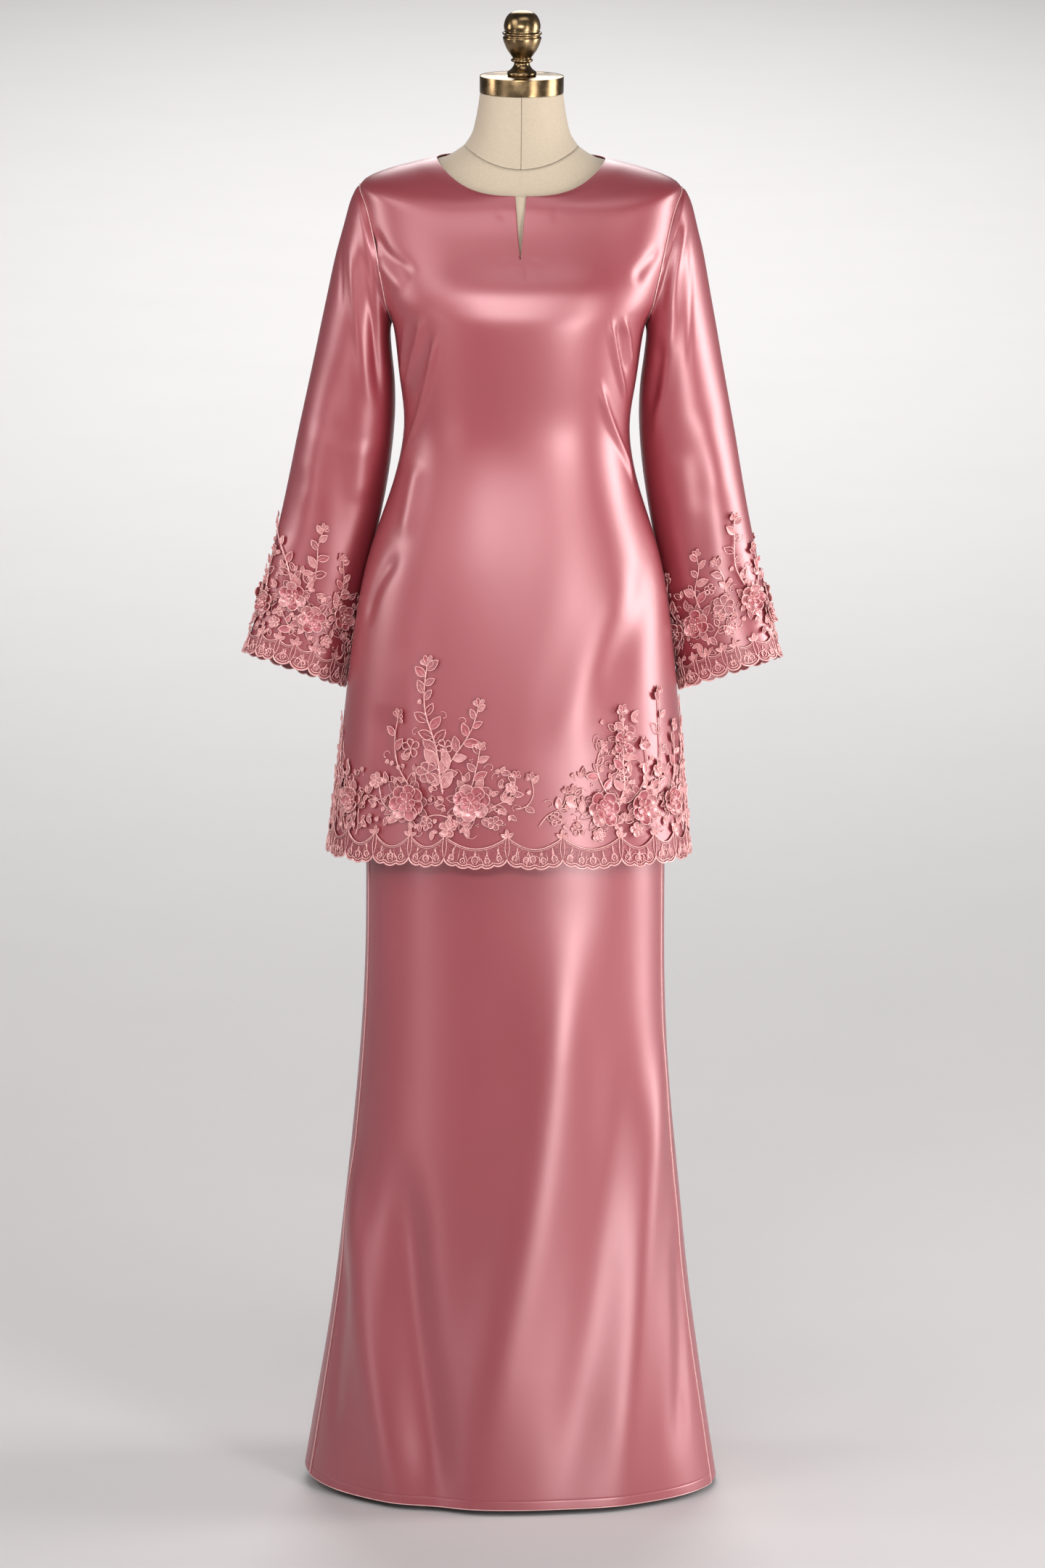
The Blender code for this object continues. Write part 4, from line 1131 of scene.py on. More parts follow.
class Needlework:
    """Cords, petals and beads, drawn flat and gathered into one mesh."""

    def __init__(self, seed):
        self.points, self.faces, self.finishes = [], [], []
        self.count = 0
        self.draw = np.random.default_rng(seed)

    def add(self, grid, finish, closed=False):
        """A grid of flat points, its columns joined round where it is closed."""
        rows, columns = grid.shape[:2]
        faces = grid_faces(rows, columns, closed, self.count)
        self.points.append(grid.reshape(-1, 3))
        self.faces.append(faces)
        self.finishes.append(np.full(len(faces), finish))
        self.count += rows * columns

    def thread(self, line, radius, finish=THREAD, taper=0.0, sides=0):
        """A round cord along a line of points, thinned by a share at its far end."""
        line = np.asarray(line, float)
        sides = sides or (4 if radius < FOUR_SIDED_BELOW else 5)
        along = unit(np.gradient(line, axis=0))
        side = unit(np.stack([-along[:, 1] + 1e-9, along[:, 0], 0 * along[:, 0]], axis=-1))
        down = np.cross(side, along)
        turns = whole_turn(sides)
        thick = radius * (1 - taper * np.linspace(0, 1, len(line)))
        thick[[0, -1]] *= BLUNT_END
        around = np.cos(turns)[None, :, None] * side[:, None] + np.sin(turns)[None, :, None] * down[:, None]
        self.add(line[:, None] + thick[:, None, None] * around, finish, True)

    def flat_thread(self, line, out, radius, **options):
        """A cord along flat places, all at one height."""
        line = np.asarray(line, float)
        self.thread(np.column_stack([line, np.full(len(line), out)]), radius, **options)

    def cord(self, points, radius, out, **options):
        """A cord along the smooth curve through a few places, and that curve."""
        length = lengths_along(np.asarray(points, float))[-1]
        line = smooth_line(points, max(4, int(length / CORD_STEP) + 2))
        self.flat_thread(line, out, radius, **options)
        return line

    def wavy(self, points, sway, pitch):
        """A cord that waves from side to side as it runs along a few places."""
        length = lengths_along(np.asarray(points, float))[-1]
        line = smooth_line(points, max(6, int(length / CORD_STEP)))
        turn = lengths_along(line) / pitch * 2 * math.pi + self.draw.uniform(0, 6)
        side = unit(np.gradient(line, axis=0))[:, ::-1] * np.array([-1, 1])
        self.flat_thread(line + side * (sway * np.sin(turn))[:, None], 0.9, WAVY_CORD, taper=0.3)

    def curl(self, place, size, heading, way):
        """A tendril that winds in on itself and ends in a bead."""
        part = np.linspace(0, 1, 16)
        angle = math.radians(heading) + way * part * 4.2
        steps = np.stack([np.cos(angle), np.sin(angle)], axis=-1) * (size / 7 * (1.25 - part))[:, None]
        line = np.array(place) + np.cumsum(steps, axis=0)
        self.flat_thread(line, 0.8, TENDRIL_CORD, taper=0.2)
        self.ball(line[-1], 1.1, 1.0)

    def ball(self, place, out, radius, finish=BEAD):
        rise = np.radians([-88, -38, 4, 44, 88])[:, None]
        turns = whole_turn(7)[None, :]
        across = np.cos(rise)
        grid = np.stack([across * np.cos(turns), -across * np.sin(turns), np.sin(rise) + 0 * turns], axis=-1)
        self.add(grid * radius + np.array([*place, out]), finish, True)

    def petal(
        self, place, heading, length, width, finish,
        base=1.0, curl=1.0, cup=0.5, rim=0.5, veins=2, belly=0.64, notch=0.0,
    ):
        """A rounded petal from its root, its edge corded and its veins raised."""
        t = np.sin(np.linspace(0.04, 1, 7) * math.pi / 2)[:, None]
        u = np.linspace(-1, 1, 2 * veins + 3)[None, :]
        near = np.clip(t / belly, 0, 1) ** 0.75
        far = np.sqrt(np.clip(1 - ((t - belly) / (1 - belly)) ** 2, 0, 1))
        wide = np.where(t < belly, near, far)
        ridge = 0.28 * np.cos(u * math.pi * (veins + 1)) * np.sin(math.pi * t) ** 0.5
        out = base + curl * t ** 2.5 - cup * (1 - u ** 2) * wide + ridge
        ahead = length * t * (1 - notch * (1 - np.abs(u)) ** 2 * t ** 4)
        grid = np.stack([ahead, width / 2 * wide * u, out], axis=-1)
        if finish is not OPEN:
            self.add(turned(grid, place, heading), finish)
        edge = np.concatenate([grid[:, 0], grid[-1, 2:-2:2], grid[::-1, -1]])
        edge[:, 2] += 0.15
        self.thread(turned(edge, place, heading), rim)

    def leaf(self, place, heading, length, width, finish, out=0.8, rim=0.5):
        """A pointed leaf with a corded edge and a midrib."""
        t = np.linspace(0, 1, 7)[:, None]
        u = np.linspace(-1, 1, 5)[None, :]
        wide = np.sin(math.pi * t ** 0.9) ** 0.85
        bend = self.draw.uniform(-0.14, 0.14) * length
        left = width / 2 * wide * u + bend * np.sin(math.pi * t / 2) ** 2
        tip = self.draw.uniform(0.6, 2.2)
        grid = np.stack([length * t + 0 * u, left, out + 0.6 * wide * np.abs(u) + tip * t ** 2], axis=-1)
        grid = turned(grid, place, heading)
        if finish is not OPEN:
            self.add(grid, finish)
        self.thread(np.concatenate([grid[:, 0], grid[-2::-1, -1]]), rim if length > 8 else 0.8 * rim)
        if length > 7:
            self.thread(grid[:5, 2] + np.array([0, 0, 0.3]), VEIN_CORD)

    def bud(self, place, heading, length):
        """A small closed bud on a short stalk, with a bead at its tip."""
        ahead = toward(heading)
        tip = np.array(place) + length * ahead
        self.thread([(*place, 0.7), (*tip, 1.2)], BUD_CORD)
        for turn in (-16, 16):
            self.petal(tip, heading + turn, 5.6, 3.2, PALE, cup=-0.8, rim=0.42, veins=1)
        self.ball(tip + 5.4 * ahead, 2.0, 0.85)

    def flower(self, place, size, petals, turn, kind):
        """A flower. A full one has rows of petals and a raised middle, and an open one only its cords."""
        draw = self.draw
        length = size / 2
        width = min(1.8 * length * math.sin(math.pi / petals), 0.74 * length)
        full = kind == "full"
        if full:
            self.ruff(place, size)
            # The back row of petals is filled with the dark net, as painted shade under the front row.
            for i in range(0, petals, 2):
                heading = turn + 360 * (i + 0.5) / petals + draw.uniform(-9, 9)
                reach = length * draw.uniform(1.0, 1.22)
                self.petal(place, heading, reach, 0.74 * width, VEIL_AND_SHADE, base=0.9, curl=1.6)
        for i in range(petals):
            heading = turn + 360 * i / petals + draw.uniform(-7, 7)
            reach = length * draw.uniform(0.88, 1.04)
            curl = draw.uniform(2.2, 4.6) if full else draw.uniform(0.6, 1.8)
            tone = PALE if full and draw.uniform() < 0.4 else FLOWER_FILLINGS[kind]
            self.petal(
                place, heading, reach, width, tone, base=1.3 + 0.9 * (i % 2) + (1.0 if full else 0.0),
                curl=curl, cup=1.9 if full else 0.9, rim=PETAL_CORD, notch=draw.uniform(0, 0.16),
            )
        if full:
            self.middle(place, size, petals, turn)
            return
        self.ball(place, 2.4, 1.35 if size > 22 else 1.05)
        for heading in turn + 30 + 90 * np.arange(4):
            self.ball(np.array(place) + 2.5 * toward(heading), 1.9, 0.7)

    def middle(self, place, size, petals, turn):
        """A full flower's inner petals, stamens and centre."""
        draw = self.draw
        for i in range(petals - 1):
            heading = turn + 25 + 360 * i / (petals - 1) + draw.uniform(-8, 8)
            self.petal(place, heading, 0.27 * size, 0.2 * size, PETAL, base=3.4, curl=2.6, rim=0.42)
        for i in range(STAMENS):
            heading = turn + 360 / STAMENS * i + draw.uniform(-18, 18)
            end = np.array(place) + 0.16 * size * draw.uniform(0.7, 1.15) * toward(heading)
            half = (np.array(place) + end) / 2
            out = draw.uniform(5.2, 6.6)
            self.thread([(*place, 3.0), (*half, 5.2), (*end, out)], STAMEN_CORD)
            self.ball(end, out, 1.1)
        self.ball(place, 4.6, 1.9, THREAD)

    def ruff(self, place, size):
        """Leaves, loops and beads that look out from under a flower, above the band."""
        draw = self.draw
        for i in range(RUFF_LEAVES):
            heading = 360 * (i + draw.uniform(0.1, 0.9)) / RUFF_LEAVES
            ahead = toward(heading)
            root = np.array(place) + 0.30 * size * ahead
            if root[1] < 40 and ahead[1] < 0:
                continue
            length = draw.uniform(0.34, 0.50) * size
            kind = draw.choice(5, p=RUFF_SHARES)
            if kind < 3:
                self.leaf(root, heading + draw.uniform(-14, 14), length, 0.5 * length, LEAF_FILLINGS[kind])
            elif kind == 3:
                self.bud(root + 0.1 * size * ahead, heading, 0.4 * length)
            else:
                self.curl(root, length * 0.8, heading, draw.choice((-1, 1)))

    def spray(self, points, thickness, leaf, leaves, bloom=True):
        """A stem that thins to its tip, with leaves by turns on either side, some of them buds."""
        draw = self.draw
        line = self.cord(points, 1.25 * thickness, 1.1, taper=0.4, sides=5)
        steps = np.gradient(line, axis=0)
        ahead = np.degrees(np.arctan2(steps[:, 1], steps[:, 0]))
        for i in range(leaves):
            part = (i + 0.9) / (leaves + 0.2)
            at = int(part * (len(line) - 1))
            size = leaf * (1.40 - 0.45 * part) * draw.uniform(0.8, 1.2)
            heading = ahead[at] + (1 if i % 2 else -1) * draw.uniform(34, 62)
            kind = draw.choice(5, p=SPRAY_SHARES)
            if kind == 4:
                self.bud(line[at], heading, size * 0.35)
            else:
                self.leaf(line[at], heading, size, size * 0.54, SPRAY_FILLINGS[kind], out=1.4, rim=0.62)
        if not bloom:
            self.leaf(line[-1], ahead[-1], leaf * 0.8, leaf * 0.36, PALE)
            return
        for turn, length in ((-62, 0.55), (58, 0.6), (-22, 0.75), (20, 0.7)):
            self.petal(
                line[-1], ahead[-1] + turn, leaf * length, leaf * 0.34, draw.choice((PALE, PETAL)),
                base=1.2, curl=1.6, rim=0.46, veins=1,
            )
        self.ball(line[-1], 2.6, 1.0)

    def thicket(self, start, end, count, tallest):
        """Close upright wavy cords with small leaves and beads, as at a side seam, tallest at the end."""
        draw = self.draw
        for i in range(count):
            part = (i + draw.uniform(0.1, 0.9)) / count
            along = start + (end - start) * part
            reach = tallest * (0.42 + 0.58 * part) * draw.uniform(0.72, 1.0)
            low = 24 + draw.uniform(-4, 8)
            sway = draw.uniform(-5, 5, 4) * np.linspace(0.3, 1.3, 4)
            line = [(along + sway[k], low + (reach - low) * k / 3) for k in range(4)]
            if i % 3 == 0:
                self.spray(line, 0.62, draw.uniform(8.5, 11.5), int(reach / 17), bloom=False)
            else:
                self.wavy(line, draw.uniform(1.2, 2.4), draw.uniform(14, 24))
            for _ in range(int(reach / 26)):
                place = (along + draw.uniform(-5, 5), draw.uniform(low, reach))
                self.ball(place, 0.8, draw.uniform(0.6, 1.0))

    def filling(self, flowers, lowest, spacing):
        """Leaves, loops, buds and beads that fill the ground close round the full flowers."""
        draw = self.draw
        taken = [(f.along, f.up) for f in flowers if f.kind != "full"]
        for flower in [f for f in flowers if f.kind == "full"]:
            for _ in range(FILLING_TRIES):
                heading = draw.uniform(0, 360)
                ahead = toward(heading)
                place = np.array([flower.along, flower.up]) + flower.size * draw.uniform(0.5, 1.1) * ahead
                if place[1] < lowest or min(math.dist(place, t) for t in [*taken, FAR_AWAY]) < spacing:
                    continue
                if min(math.dist(place, (f.along, f.up)) - FULL_SPREAD * f.size for f in flowers) < 0:
                    continue
                taken.append(tuple(place))
                self.small_motif(place, heading + draw.uniform(-50, 50), draw.uniform(9, 14))

    def small_motif(self, place, heading, size):
        """One of the little things that fill the ground between flowers."""
        kind = self.draw.choice(6, p=FILLING_SHARES)
        if kind < 3:
            self.leaf(place, heading, size, 0.52 * size, LEAF_FILLINGS[kind], rim=0.56)
            self.leaf(place, heading + self.draw.choice((-58, 58)), 0.7 * size, 0.36 * size, PALE)
        elif kind == 3:
            self.curl(place, size, heading, self.draw.choice((-1, 1)))
        elif kind == 4:
            self.bud(place, heading, 0.35 * size)
        else:
            for turn in (0, 120, 240):
                self.ball(place + 1.5 * toward(heading + turn), 0.9, 0.95)

    def made(self, name, ground, materials):
        """The object that the work makes on its ground."""
        faces = np.concatenate(self.faces)
        if ground.mirror:
            faces = faces[:, ::-1]
        points = ground.place(np.concatenate(self.points))
        return mesh_object(name, points, faces, materials, np.concatenate(self.finishes))


# ---- scalloped band

Band = namedtuple("Band", "notch drop peak low eye")
HEM_BAND = Band(notch=3.0, drop=9.0, peak=28.0, low=14.0, eye=8.0)
CUFF_BAND = Band(notch=2.5, drop=6.0, peak=23.0, low=12.5, eye=6.6)
LOBE_DEPTH = 3.4
LOBE_WIDTH = 15.0
EYE_PITCH = 13.5
EYE_FOOT = 4.2
RIB_PITCH = 2.7
SHORTEST_RIB = 1.2
EDGE_THREAD, INNER_THREAD, SWAG_THREAD, UNDER_SWAG_THREAD, RIB_THREAD = 1.05, 0.72, 0.74, 0.46, 0.64
NET_ROWS = 9
NET_STAND = 0.3


def scallop(start, end, band):
    """The edge between two notches: an arc of small lobes."""
    wide = end - start
    lobes = max(1, round(wide / LOBE_WIDTH))
    t = np.linspace(0, 1, max(12, int(wide / 1.2)))
    arc = np.clip(1 - (2 * t - 1) ** 2, 0, 1) ** 0.6
    lobe = np.abs(np.sin(lobes * math.pi * t)) ** 0.55
    depth = (band.drop + band.notch - LOBE_DEPTH) * min(1, (wide / 62) ** 0.35)
    return np.column_stack([start + wide * t, band.notch - depth * arc - LOBE_DEPTH * lobe])


def swag(start, end, band):
    """The line that hangs between two notches at the top of the band."""
    t = np.linspace(0, 1, max(8, int((end - start) / 2.2)))
    hang = (band.peak - band.low) * min(1.0, (end - start) / 46)
    return np.column_stack([start + (end - start) * t, band.peak - hang * np.sin(math.pi * t) ** 0.85])


def inward(line, distance):
    """The line moved to its left, which is into the lace."""
    step = unit(np.gradient(line, axis=0))
    return line + distance * np.column_stack([-step[:, 1], step[:, 0]])


def spread_over(edge, count):
    """Even parts of an edge, from 0 to 1, each with the number of its nearest point."""
    parts = [(i + 0.5) / count for i in range(count)]
    return [(part, int(part * (len(edge) - 1))) for part in parts]


def scallop_work(work, start, end, band):
    """One scallop: its corded edge, the eyes and ribs inside it, and its swag."""
    edge = scallop(start, end, band)
    work.flat_thread(edge, 1.0, EDGE_THREAD, sides=6)
    work.flat_thread(inward(edge[1:-1], 2.9), 0.9, INNER_THREAD)
    top = swag(start, end, band)
    work.flat_thread(top, 1.0, SWAG_THREAD)
    work.flat_thread(top[1:-1] - np.array([0, 2.0]), 0.8, UNDER_SWAG_THREAD)
    step = unit(np.gradient(edge, axis=0))
    into = unit(np.column_stack([-step[:, 1], step[:, 0]]) * np.array([0.55, 1]))
    eyes = max(1, round((end - start) / EYE_PITCH))
    for part, at in spread_over(edge, eyes):
        central = abs(part - 0.5) < 0.5 / eyes + 0.01
        eye_work(work, edge[at], step[at], into[at], central, band)
    for part, at in spread_over(edge, int((end - start) / RIB_PITCH)):
        beside = abs(part * eyes % 1 - 0.5) > 0.30
        first = edge[at] + (EYE_FOOT if beside else 5.4 + band.eye) * into[at]
        room = np.interp(first[0], top[:, 0], top[:, 1]) - 2.6 - first[1]
        reach = room * work.draw.uniform(0.62, 1.0)
        if reach > SHORTEST_RIB:
            last = first + reach * into[at] + np.array([work.draw.uniform(-1.0, 1.0), 0])
            bend = np.array([work.draw.uniform(-0.5, 0.5), 0])
            work.flat_thread([first, (first + last) / 2 + bend, last], 0.85, RIB_THREAD, taper=0.3)


def eye_work(work, foot, step, into, central, band):
    """A teardrop or round eye standing on the edge. A central one has an arch over it."""
    heading = math.degrees(math.atan2(into[1], into[0]))
    length = band.eye * (1.2 if central else 1.0) * work.draw.uniform(0.88, 1.08)
    finish = VEIL_AND_SHADE if work.draw.uniform() < 0.5 else OPEN
    work.petal(
        foot + EYE_FOOT * into, heading, length, length * 0.74, finish,
        base=0.7, curl=0.2, cup=0.0, rim=0.74, veins=1, belly=0.5,
    )
    centre = foot + (4.4 + length * 0.5) * into
    if work.draw.uniform() < 0.6:
        work.ball(centre, 0.9, 1.0, THREAD)
    else:
        turn = np.linspace(0, 2 * math.pi, 9)
        work.flat_thread(centre + 1.7 * np.column_stack([np.cos(turn), np.sin(turn)]), 0.7, TENDRIL_CORD)
    if central:
        arch = np.linspace(-0.25, math.pi + 0.25, 13)[:, None]
        bow = foot + 5.0 * into + length * 0.92 * (np.cos(arch) * step + np.sin(arch) * into)
        work.flat_thread(bow, 0.9, 0.56)


def notch_work(work, along, band):
    """What stands over a notch: two upright cords, short threads and three small leaves."""
    rise = band.peak - band.notch
    for way in (-1, 1):
        half = (along + way * 2.2, band.notch + 0.35 * rise)
        work.cord([(along + way * 0.3, band.notch), half, (along + way * 1.0, band.peak)], 0.56, 0.8)
        for part, reach in ((0.25, 5.5), (0.45, 7.5), (0.65, 7.5)):
            up = band.notch + part * rise
            work.flat_thread([(along + way * 1.8, up), (along + way * reach, up + 3.4)], 0.7, 0.38)
    for heading, length in ((90, 10.0), (36, 8.5), (144, 8.5)):
        work.leaf((along, band.peak - 1.0), heading, length, 4.2, PALE, out=1.0)


def band_net(name, ground, notches, band, material):
    """The net under a band, from its scalloped edge up to its swags."""
    pairs = list(zip(notches, notches[1:]))
    lower = np.concatenate([scallop(start, end, band)[:-1] for start, end in pairs])
    hanging = np.concatenate([swag(start, end, band)[:-1] for start, end in pairs])
    upper = np.column_stack([lower[:, 0], np.interp(lower[:, 0], hanging[:, 0], hanging[:, 1])])
    levels = np.linspace(0, 1, NET_ROWS)[:, None, None]
    flat = (lower + (upper - lower) * levels)[:, :: 1 if ground.mirror else -1]
    flat = np.concatenate([flat, np.full((*flat.shape[:2], 1), NET_STAND)], axis=-1)
    return grid_object(name, ground.place(flat.reshape(-1, 3)).reshape(flat.shape), [material])


# ---- lace patterns

Pattern = namedtuple("Pattern", "notches flowers sprays tendrils thickets")
FLOWER = "along up size petals turn kind"
SPRAY = "thickness leaf leaves line"
TENDRIL = "along up size heading way"
THICKET = "start end count tallest"

HEM_FRONT = Pattern(
    notches=(-285, -248, -209, -163, -116, -74, -2, 61, 132, 180, 216, 252, 285),
    flowers=table(
        FLOWER,
        (-45, 67, 45, 7, 10, "full"), (-123, 66, 45, 7, 34, "full"), (-98, 101, 28, 6, 0, "net"),
        (-122, 128, 23, 5, 20, "open"), (-79, 130, 20, 5, 50, "open"), (-71, 37, 21, 5, 15, "pale"),
        (-97, 42, 16, 5, 50, "net"), (-17, 44, 18, 5, 5, "net"), (111, 60, 42, 6, 0, "full"),
        (165, 60, 41, 6, 30, "full"), (140, 136, 30, 4, 45, "full"), (139, 98, 16, 5, 10, "net"),
        (154, 35, 19, 5, 30, "pale"), (104, 30, 16, 5, 0, "pale"), (54, 49, 16, 5, 22, "net"),
        (1, 84, 15, 5, 0, "pale"), (79, 37, 16, 5, 40, "open"), (-206, 62, 33, 6, 10, "full"),
        (-246, 84, 29, 6, 40, "net"), (214, 64, 33, 6, 25, "full"), (252, 92, 29, 6, 5, "net"),
        (-170, 88, 19, 5, 0, "pale"), (192, 100, 18, 5, 0, "pale"),
    ),
    sprays=table(
        SPRAY,
        (1.13, 17.0, 17, ((-79, 76), (-83, 93), (-92, 135), (-105, 168), (-107, 222))),
        (0.92, 14.5, 9, ((-84, 92), (-68, 118), (-48, 148), (-39, 176))),
        (0.81, 13.0, 4, ((-45, 84), (-40, 106), (-36, 128))),
        (0.86, 14.5, 5, ((-123, 86), (-140, 108), (-147, 138), (-143, 162))),
        (0.76, 12.5, 4, ((-104, 46), (-84, 52), (-66, 47), (-52, 40))),
        (0.76, 11.5, 3, ((-140, 52), (-156, 62), (-166, 84))),
        (0.76, 11.5, 4, ((-28, 58), (-12, 66), (0, 74), (6, 96))),
        (0.70, 11.0, 3, ((6, 60), (20, 64), (27, 78), (24, 94))),
        (0.70, 11.0, 3, ((34, 40), (46, 54), (60, 62), (66, 78))),
        (1.08, 15.5, 9, ((128, 62), (139, 82), (139, 108), (141, 134), (140, 168))),
        (0.86, 13.0, 4, ((120, 72), (108, 92), (104, 112), (110, 130))),
        (0.86, 13.0, 4, ((156, 74), (170, 92), (176, 112), (172, 132))),
        (0.76, 11.5, 3, ((92, 50), (80, 60), (76, 78))),
        (0.81, 12.5, 6, ((186, 66), (196, 96), (201, 140), (202, 189))),
        (0.76, 11.5, 4, ((120, 40), (134, 44), (148, 52))),
        (0.81, 12.5, 5, ((222, 80), (230, 112), (233, 148))),
    ),
    tendrils=table(
        TENDRIL,
        (14, 58, 12, 100, 1), (38, 66, 12, 60, -1), (-20, 92, 10, 120, -1), (-58, 96, 11, 80, 1),
        (-112, 150, 10, 150, 1), (-88, 168, 10, 40, -1), (92, 78, 12, 110, 1), (124, 112, 10, 130, 1),
        (156, 112, 10, 40, -1), (184, 84, 11, 70, -1), (70, 52, 10, 40, -1), (-152, 118, 11, 120, 1),
        (206, 120, 10, 60, -1), (-64, 160, 10, 60, -1), (-186, 72, 11, 110, 1),
    ),
    thickets=table(THICKET, (-190, -280, 14, 168), (222, 280, 11, 192)),
)

HEM_BACK = Pattern(
    notches=(-285, -244, -206, -172, -118, -66, 4, 52, 118, 166, 208, 250, 285),
    flowers=table(
        FLOWER,
        (-62, 64, 44, 7, 20, "full"), (-136, 68, 42, 6, 0, "full"), (-98, 104, 26, 6, 15, "net"),
        (-28, 40, 19, 5, 0, "pale"), (-100, 40, 20, 5, 30, "pale"), (34, 66, 42, 7, 40, "full"),
        (104, 62, 42, 6, 12, "full"), (70, 102, 26, 6, 0, "net"), (68, 38, 18, 5, 20, "pale"),
        (150, 46, 19, 5, 0, "net"), (184, 72, 33, 6, 30, "full"), (-200, 66, 33, 6, 10, "full"),
        (2, 84, 16, 5, 0, "open"), (-14, 116, 16, 5, 22, "open"),
    ),
    sprays=table(
        SPRAY,
        (1.08, 15.5, 10, ((-92, 70), (-98, 96), (-104, 136), (-96, 172), (-92, 212))),
        (0.86, 13.0, 5, ((-78, 84), (-62, 112), (-54, 142))),
        (0.86, 13.0, 5, ((-144, 88), (-156, 116), (-152, 150))),
        (1.08, 15.5, 8, ((66, 66), (72, 98), (66, 132), (74, 172), (78, 204))),
        (0.86, 13.0, 5, ((44, 88), (30, 112), (24, 142))),
        (0.86, 13.0, 5, ((112, 84), (124, 112), (120, 146))),
        (0.76, 11.5, 4, ((-34, 58), (-14, 66), (4, 70), (16, 58))),
        (0.81, 12.5, 5, ((150, 62), (160, 96), (158, 136))),
        (0.76, 11.5, 3, ((122, 44), (136, 52), (150, 64))),
    ),
    tendrils=table(
        TENDRIL,
        (-40, 88, 11, 80, 1), (-118, 108, 11, 120, 1), (54, 96, 10, 100, 1), (90, 96, 11, 60, -1),
        (8, 52, 12, 90, -1), (-166, 92, 11, 110, 1), (140, 84, 11, 70, -1), (-78, 150, 10, 50, -1),
        (94, 150, 10, 40, -1),
    ),
    thickets=table(THICKET, (-200, -280, 9, 190), (206, 280, 9, 166)),
)

CUFF_LEFT = Pattern(
    notches=(-173.3, -146, -118, -90, -66, -46, -17, 5, 25, 49, 78, 106, 140, 173.3),
    flowers=table(
        FLOWER,
        (22, 76, 33, 6, 10, "full"), (-5, 57, 34, 6, 40, "full"), (-44, 72, 31, 6, 5, "full"),
        (58, 58, 30, 6, 25, "full"), (36, 40, 15, 5, 0, "pale"), (-28, 38, 15, 5, 20, "pale"),
        (100, 68, 31, 6, 0, "full"), (136, 56, 29, 6, 30, "full"), (-92, 66, 31, 6, 20, "full"),
        (-136, 60, 30, 6, 0, "full"), (-114, 40, 15, 5, 10, "pale"), (82, 36, 15, 5, 30, "pale"),
        (-66, 42, 15, 5, 0, "net"), (168, 74, 26, 6, 0, "net"),
    ),
    sprays=table(
        SPRAY,
        (0.86, 12.5, 7, ((28, 90), (44, 116), (66, 138), (85, 159))),
        (0.81, 11.5, 7, ((10, 88), (2, 114), (6, 140), (4, 160))),
        (0.76, 11.0, 4, ((62, 72), (68, 96), (66, 120))),
        (0.81, 11.5, 6, ((-30, 76), (-36, 104), (-28, 134))),
        (0.76, 11.0, 4, ((-60, 82), (-72, 104), (-74, 126))),
        (0.76, 11.0, 6, ((104, 84), (112, 112), (108, 146))),
        (0.76, 11.0, 5, ((140, 74), (150, 98), (146, 126))),
        (0.76, 11.0, 5, ((-98, 80), (-106, 108), (-100, 138))),
        (0.76, 11.0, 4, ((-140, 76), (-150, 98), (-148, 122))),
        (0.65, 10.5, 3, ((8, 36), (20, 42), (30, 54))),
    ),
    tendrils=table(
        TENDRIL,
        (42, 92, 9, 60, -1), (-16, 84, 9, 110, 1), (76, 80, 9, 60, -1), (-56, 100, 9, 110, 1),
        (120, 80, 9, 70, -1), (-114, 88, 9, 120, 1),
    ),
    thickets=table(THICKET, (-54, -90, 8, 108)),
)

CUFF_RIGHT = Pattern(
    notches=(-173.3, -142, -112, -86, -62, -40, -24, -4, 12, 34, 62, 92, 118, 146, 173.3),
    flowers=table(
        FLOWER,
        (-28, 62, 34, 6, 20, "full"), (45, 71, 33, 6, 0, "full"), (8, 72, 26, 6, 15, "net"),
        (10, 44, 16, 5, 0, "pale"), (-58, 58, 29, 6, 30, "full"), (74, 48, 24, 6, 10, "full"),
        (-4, 96, 14, 5, 0, "open"), (98, 70, 30, 6, 20, "full"), (134, 56, 30, 6, 0, "full"),
        (-98, 68, 31, 6, 10, "full"), (-138, 58, 30, 6, 35, "full"), (-78, 38, 14, 5, 0, "pale"),
        (114, 36, 14, 5, 0, "pale"), (168, 76, 26, 6, 0, "net"),
    ),
    sprays=table(
        SPRAY,
        (0.86, 12.5, 7, ((40, 88), (32, 112), (36, 140), (41, 166))),
        (0.81, 11.5, 6, ((-20, 78), (-22, 100), (-14, 120), (-13, 138))),
        (0.76, 11.0, 4, ((58, 84), (68, 104), (66, 128))),
        (0.76, 11.0, 5, ((-56, 74), (-66, 98), (-60, 124))),
        (0.70, 11.0, 3, ((14, 86), (14, 106), (8, 122))),
        (0.76, 11.0, 5, ((102, 86), (110, 110), (104, 140))),
        (0.76, 11.0, 5, ((138, 72), (148, 98), (144, 124))),
        (0.76, 11.0, 5, ((-102, 84), (-108, 110), (-102, 138))),
        (0.76, 11.0, 4, ((-142, 74), (-152, 98), (-148, 122))),
        (0.65, 10.5, 3, ((-10, 40), (-2, 50), (0, 62))),
    ),
    tendrils=table(
        TENDRIL,
        (22, 60, 9, 80, 1), (-6, 76, 9, 100, -1), (62, 66, 9, 50, -1), (-44, 84, 9, 110, 1),
        (118, 80, 9, 70, -1), (-120, 84, 9, 120, 1),
    ),
    thickets=table(THICKET, (62, 92, 6, 104)),
)


